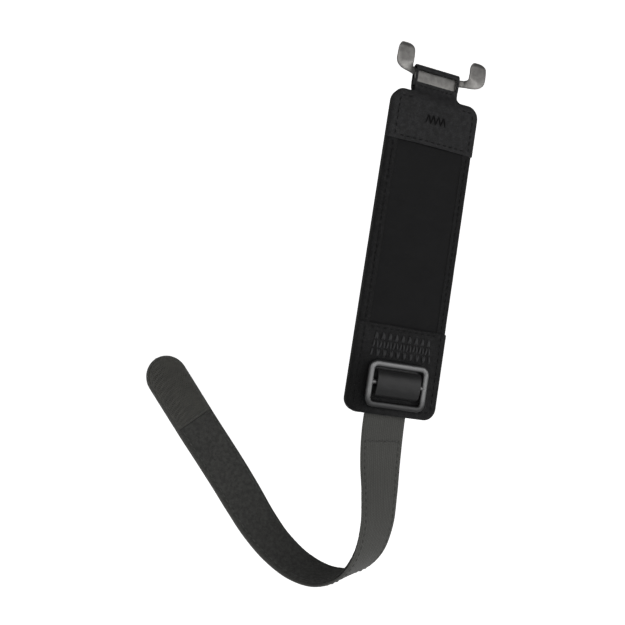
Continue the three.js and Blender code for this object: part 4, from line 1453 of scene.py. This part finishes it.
def tail_table(steps=3200):
    """Arc lengths, centres, width directions and tangents along the tail."""
    spans = len(TAIL) - 1
    table = extend_ends(TAIL)
    centres, widths = [], []
    for k in range(steps + 1):
        place = spans * k / steps
        i = min(int(place), spans - 1)
        t = place - i
        near = table[i:i + 4]
        w0, w1, w2, w3 = near[:, 3:]
        centres.append(centripetal(*near[:, :3], t))
        widths.append(hermite(w1, w2, 0.5 * (w2 - w0), 0.5 * (w3 - w1), t))
    centres = np.array(centres)
    tangents = unit(np.gradient(centres, axis=0))
    return lengths_along(centres), centres, square_to(np.array(widths), tangents), tangents


TAIL_S, TAIL_CENTRES, TAIL_WIDTHS, TAIL_TANGENTS = tail_table()
TAIL_LENGTH = TAIL_S[-1]
FLAT_START = TAIL_LENGTH - 38.0     # the tail is straight from here to its tip


def tail_at(s):
    """Centres, width directions, front normals and tangents at arc lengths s."""
    s = np.atleast_1d(np.asarray(s, float))
    curved = np.minimum(s, FLAT_START)
    tangents = unit(interp_rows(curved, TAIL_S, TAIL_TANGENTS))
    centres = interp_rows(curved, TAIL_S, TAIL_CENTRES)
    centres = centres + tangents * np.maximum(s - FLAT_START, 0)[:, None]
    widths = square_to(unit(interp_rows(curved, TAIL_S, TAIL_WIDTHS)), tangents)
    return centres, widths, np.cross(tangents, widths), tangents


def tail_point(s):
    """Centre of the tail at arc length s, in metres."""
    return tuple(tail_at(s)[0][0] * MM)


# ------------------------------------------------------------------ tail: pieces
WEB_WIDTH, WEB_THICK = 22.0, 1.5
TAPE_WIDTH, TAPE_THICK = 20.0, 0.9
TAPE_GAP = 0.12
TAPE_OFFSET = -(WEB_THICK / 2 + TAPE_GAP + TAPE_THICK / 2)      # behind the centre line
HOOK_OFFSET = TAPE_OFFSET + 0.13
WEB_FACE = WEB_THICK / 2 - 0.04     # where stitches lie on the front of the webbing
ROOT_END, BEND_END = 50.0, 121.0    # arc lengths where the tail's pieces meet
HOOK_START = TAIL_LENGTH - 36.0
TIP_R = 10.9                        # rounded tip of the webbing
HOOK_TIP_R = 9.9
SEAM_X = 9.0                        # edge stitching, out from the centre line
# For each piece of the tail: the body above it, the body below it, and where the bend between
# them starts and ends.
TAIL_BENDS = {
    "root": ("pad", "tail_upper", (-0.0005, -0.0019, -0.0775), (-0.0005, -0.0019, -0.0832)),
    "bend": ("tail_upper", "tail_bend", tail_point(78.0), tail_point(106.0)),
    "end": ("tail_bend", "tail_end", tail_point(137.0), tail_point(163.0)),
}


def fit_tail(ob, piece, layer=None):
    """Bake a tail piece's transform and hide the CAD piece it replaces, named from its lower
    body and layer.
    """
    upper, lower, start, end = TAIL_BENDS[piece]
    if layer:
        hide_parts(lower + layer)
    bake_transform(ob)


def strip_grid(s0, s1, width, offset, step, columns, tip_r=0.0):
    """Grid of a strip along the tail, its UVs in mm, and its front normals by row."""
    s = np.linspace(s0, s1 - tip_r, max(2, int((s1 - s0) / step)))
    half_w = np.full(len(s), width / 2)
    if tip_r > 0:
        turn = np.radians(np.linspace(5, 88.5, 22))
        s = np.concatenate([s, s1 - tip_r + tip_r * np.sin(turn)])
        into = np.clip((s - (s1 - tip_r)) / tip_r, 0, 1)
        half_w = width / 2 * np.sqrt(np.maximum(1 - into ** 2, 0.0006))
    across = np.linspace(-1, 1, columns)[None, :] * half_w[:, None]
    centres, widths, normals, _ = tail_at(s)
    normals = normals[:, None]
    points = centres[:, None] + widths[:, None] * across[..., None] + normals * offset
    uv = np.stack([across, np.broadcast_to(s[:, None], across.shape)], -1)
    return points, uv, normals


def make_tail_webbing():
    columns = 43
    across = np.linspace(-WEB_WIDTH / 2, WEB_WIDTH / 2, columns)
    edge = np.clip((WEB_WIDTH / 2 - np.abs(across)) / 0.9, 0, 1)
    thick = (WEB_THICK - 0.12) * (0.62 + 0.38 * np.sqrt(edge))[None, :]
    for piece, s0, s1, tip_r in (("root", 2.5, ROOT_END, 0.0), ("bend", ROOT_END, BEND_END, 0.0),
                                 ("end", BEND_END, TAIL_LENGTH, TIP_R)):
        points, uv, normals = strip_grid(s0, s1, WEB_WIDTH, 0.0, 0.9, columns, tip_r)
        x, s = uv[..., 0], uv[..., 1]
        ripple = 0.035 * np.cos(2 * math.pi * x / 2.1) + 0.06 * wobble(x * 0.4, s, 21, 9)
        ob = sheet("tail_web_" + piece, points + normals * ripple[..., None], thick, WEBBING,
                   uv, outward=normals, bulge=0.3)
        fit_tail(ob, piece, "_web")


def make_tail_tape():
    """Loop tape along the back of the webbing, roughened by random fuzz."""
    random = np.random.RandomState(5)
    for piece, s0, s1 in (("root", 17.0, ROOT_END), ("bend", ROOT_END, BEND_END),
                          ("end", BEND_END, HOOK_START - 0.4)):
        points, uv, normals = strip_grid(s0, s1, TAPE_WIDTH, TAPE_OFFSET, 0.62, 37)
        fuzz = random.uniform(-1, 1, points.shape[:2])
        fuzz[[0, -1]] = 0
        fuzz[:, [0, -1]] *= 0.4
        ob = sheet("tail_loop_" + piece, points - normals * (0.08 * fuzz)[..., None],
                   TAPE_THICK - 0.1 + 0.16 * fuzz, LOOP_PILE, uv, outward=-normals, bulge=0.3)
        fit_tail(ob, piece, "_loop_tape")


def make_hook_patch():
    """Base tape of the hook patch at the tip."""
    points, uv, normals = strip_grid(HOOK_START, TAIL_LENGTH - 1.0, TAPE_WIDTH, HOOK_OFFSET,
                                     0.9, 33, HOOK_TIP_R)
    ob = sheet("hook_patch_base", points, 0.55, HOOK_NYLON, uv, outward=-normals, bulge=0.3)
    fit(ob, "tail_end", "hook_pile", "tail_hook_patch")


def make_hooks():
    """Small nylon hooks; their rows stand in pairs and bow a little towards the tip."""
    sides, row_gap, hook_gap = 5, 2.3, 0.95
    last = TAIL_LENGTH - 2.0
    rows = np.sort(np.concatenate([np.arange(HOOK_START - 1.0, last, row_gap),
                                   np.arange(HOOK_START - 0.1, last, row_gap)]))
    verts, faces, uv = [], [], []
    for i, row_s in enumerate(rows):
        for x in np.arange(-8.4 + 0.45 * (i % 2), 8.5, hook_gap):
            s = row_s + 2.4 * (1 - (x / 9.0) ** 2)
            into = max(0.0, (s - (TAIL_LENGTH - TIP_R)) / HOOK_TIP_R)
            reach = TAPE_WIDTH / 2 * math.sqrt(max(1 - into ** 2, 0)) - 1.5
            if abs(x) > reach or s < HOOK_START + 0.9 or s > TAIL_LENGTH - 2.2:
                continue
            centre, width, normal, tangent = (rows_at[0] for rows_at in tail_at(s))
            foot = centre + normal * HOOK_OFFSET - normal * 0.25 + width * x
            lean = 1 if int(round(x * 2)) % 2 else -1
            base = len(verts)
            # along the tail, height, radius
            for shift, height, radius in ((0.0, 0.0, 0.17), (0.0, 0.28, 0.15),
                                          (0.12 * lean, 0.45, 0.15),
                                          (0.32 * lean, 0.40, 0.12)):
                for k in range(sides):
                    a = 2 * math.pi * k / sides
                    verts.append(foot + tangent * (shift + radius * math.cos(a))
                                 + width * radius * math.sin(a) - normal * height)
                    uv.append((x, s))
            for k in range(3):
                near, far = base + k * sides, base + (k + 1) * sides
                for j in range(sides):
                    j2 = (j + 1) % sides
                    faces.append([near + j, near + j2, far + j2, far + j])
            faces.append([base + 3 * sides + j for j in range(sides)])
            faces.append([base + j for j in reversed(range(sides))])
    verts = np.array(verts)
    faces = wind_outwards(verts, faces, verts[:2 * sides].mean(0))
    ob = build_mesh("hook_patch_hooks", verts, faces, HOOK_NYLON, uv, sharp=60)
    fit(ob, "tail_end", "hook_pile")


def make_tail_stitches():
    """Edge stitching that holds the tape, showing on both faces."""
    for piece, s0, s1 in (("root", 18.0, ROOT_END - 0.2),
                          ("bend", ROOT_END + 0.2, BEND_END - 0.2),
                          ("end", BEND_END + 0.2, HOOK_START - 1.5)):
        threads = Threads()
        s = np.linspace(s0, s1, max(8, int((s1 - s0) / 1.5)))
        centres, widths, normals, _ = tail_at(s)
        for sign in (-1, 1):
            line = centres + widths * (sign * SEAM_X)
            threads.row(line + normals * WEB_FACE, normals, pitch=3.1, r=0.24, rise=0.12)
            threads.row(line + normals * (TAPE_OFFSET - TAPE_THICK / 2 + 0.02), -normals,
                        pitch=3.1, r=0.24, rise=0.14)
        fit_tail(threads.build("tail_stitches_" + piece, TAIL_THREAD), piece)


def make_hook_patch_stitches():
    """Stitching round the hook patch, on both faces."""
    low, high = HOOK_START + 1.0, TAIL_LENGTH - TIP_R
    path = [(-SEAM_X, s) for s in np.linspace(low, high, 18)]
    path += [(-SEAM_X * math.cos(a), high + SEAM_X * math.sin(a))
             for a in np.linspace(0, math.pi, 26)[1:-1]]
    path += [(SEAM_X, s) for s in np.linspace(high, low, 18)]
    path += [(x, low) for x in np.linspace(SEAM_X, -SEAM_X, 12)[1:]]
    path = np.array(path)
    centres, widths, normals, _ = tail_at(path[:, 1])
    line = centres + widths * path[:, :1]
    threads = Threads()
    threads.row(line + normals * (TAPE_OFFSET - 0.13), -normals, pitch=3.0, r=0.24, rise=0.16)
    threads.row(line + normals * WEB_FACE, normals, pitch=3.0, r=0.24, rise=0.12)
    fit(threads.build("hook_patch_stitches", TAIL_THREAD), "tail_end", "thread")


def make_stay_stitch():
    """Zig-zag across the tail where the tape starts."""
    threads = Threads()
    centre, width, normal, tangent = (rows[0] for rows in tail_at(19.2))
    count, step = 9, 1.8
    for i in range(count):
        x0, x1 = -8.1 + i * step, -8.1 + (i + 1) * step
        slant = 0.5 if i % 2 else -0.5
        threads.stitch(centre + width * x0 + tangent * slant + normal * 0.73,
                       centre + width * x1 - tangent * slant + normal * 0.73,
                       normal, r=0.24, rise=0.14)
    ob = threads.build("tail_stay_stitch", TAIL_THREAD)
    fit(ob, "tail_upper", "thread", "tail_stay_thread")


# ------------------------------------------------------------------ stage, lights, camera
# Everything from here on is in metres.
FLOOR_GLOW = 0.34        # light the pale floor gives back to the strap
FLOOR_SEEN = 0.85        # the floor's glow as the camera sees it
ROOM = 0.12              # light from the room above


def make_stage():
    """White floor that sweeps up into a wall behind the strap."""
    mat = new_shader("stage_white")
    glow = mat.math("MULTIPLY", mat.camera_ray(), FLOOR_SEEN - FLOOR_GLOW)
    white = mat.finish(
        color=(0.86, 0.86, 0.86, 1), roughness=0.95, specular=0.0, emission=(1, 1, 1, 1),
        emission_strength=mat.math("ADD", FLOOR_GLOW, glow))
    floor_z = CAD_LO[2] - 0.012
    bend_y, bend_r, near_y, half_w, wall_top = 1.6, 0.9, -3.0, 6.0, 4.5
    profile = [(near_y, floor_z), (bend_y, floor_z)]
    for k in range(1, 13):
        a = math.radians(90 * k / 12)
        profile.append((bend_y + bend_r * math.sin(a), floor_z + bend_r - bend_r * math.cos(a)))
    profile.append((bend_y + bend_r, floor_z + wall_top))
    verts = [(x, y, z) for x in (-half_w, half_w) for y, z in profile]
    count = len(profile)
    faces = [[k, count + k, count + k + 1, k + 1] for k in range(count - 1)]
    mesh = bpy.data.meshes.new("floor_sweep")
    mesh.from_pydata(verts, [], faces)
    mesh.polygons.foreach_set("use_smooth", np.ones(len(mesh.polygons), bool))
    mesh.materials.append(white)
    ob = bpy.data.objects.new("floor_sweep", mesh)
    SCENE.collection.objects.link(ob)


def make_world():
    """White to the camera, dim as a light."""
    world = bpy.data.worlds.new("studio_white")
    SCENE.world = world
    sky = Shader(world)
    seen = sky.math("MULTIPLY", sky.camera_ray(), 1.0 - ROOM)
    background = sky.tree.nodes["Background"]
    sky.put(background.inputs["Strength"], sky.math("ADD", ROOM, seen))
    background.inputs["Color"].default_value = (1, 1, 1, 1)


def area_light(name, location, target, width, height, energy):
    data = bpy.data.lights.new(name, "AREA")
    data.energy = energy
    data.shape = "RECTANGLE"
    data.size = width
    data.size_y = height
    ob = bpy.data.objects.new(name, data)
    SCENE.collection.objects.link(ob)
    ob.location = location
    ob.rotation_mode = "QUATERNION"
    aim = Vector(target) - Vector(location)
    ob.rotation_quaternion = aim.to_track_quat("-Z", "Y")


def make_lights():
    area_light("key_softbox", location=(-0.55, -1.0, 0.36), target=(0, 0, -0.03),
               width=0.8, height=0.5, energy=4.0)
    area_light("low_front_softbox", location=(0.5, -1.1, 0.06), target=(0, 0, -0.12),
               width=1.2, height=0.42, energy=6.2)
    area_light("top_softbox", location=(0.1, 0.2, 1.1), target=(0, 0, 0),
               width=0.5, height=0.4, energy=0.8)


def make_camera():
    """Camera in front of the strap and to its left, nearly level."""
    data = bpy.data.cameras.new("photo_camera")
    camera = bpy.data.objects.new("photo_camera", data)
    SCENE.collection.objects.link(camera)
    data.sensor_width = 36.0
    data.lens = 49.9968
    data.clip_start, data.clip_end = 0.02, 50
    right = Vector((0.9192, -0.3629, 0.1529)).normalized()
    forward = Vector((0.3603, 0.9317, 0.0452)).normalized()
    up = right.cross(forward).normalized()
    right = forward.cross(up).normalized()
    turn = Matrix((right, up, -forward)).transposed()
    place = Vector((-0.19386, -0.3838, -0.0543))
    camera.matrix_world = Matrix.Translation(place) @ turn.to_4x4()
    SCENE.camera = camera
    SCENE.view_settings.view_transform = "Standard"
    SCENE.view_settings.look = "None"


# ------------------------------------------------------------------ build
for make in (
        make_binding, make_cover, make_lining, make_core,
        make_cap, make_gussets, make_cap_stitches, make_cap_bartack, make_loop_seam,
        make_patch, make_patch_stitches, make_zigzag, make_side_stitches,
        make_clip, make_buckle, make_keeper,
        make_tail_webbing, make_tail_tape, make_hook_patch, make_hooks,
        make_tail_stitches, make_hook_patch_stitches, make_stay_stitch,
        make_stage, make_world, make_lights, make_camera):
    make()
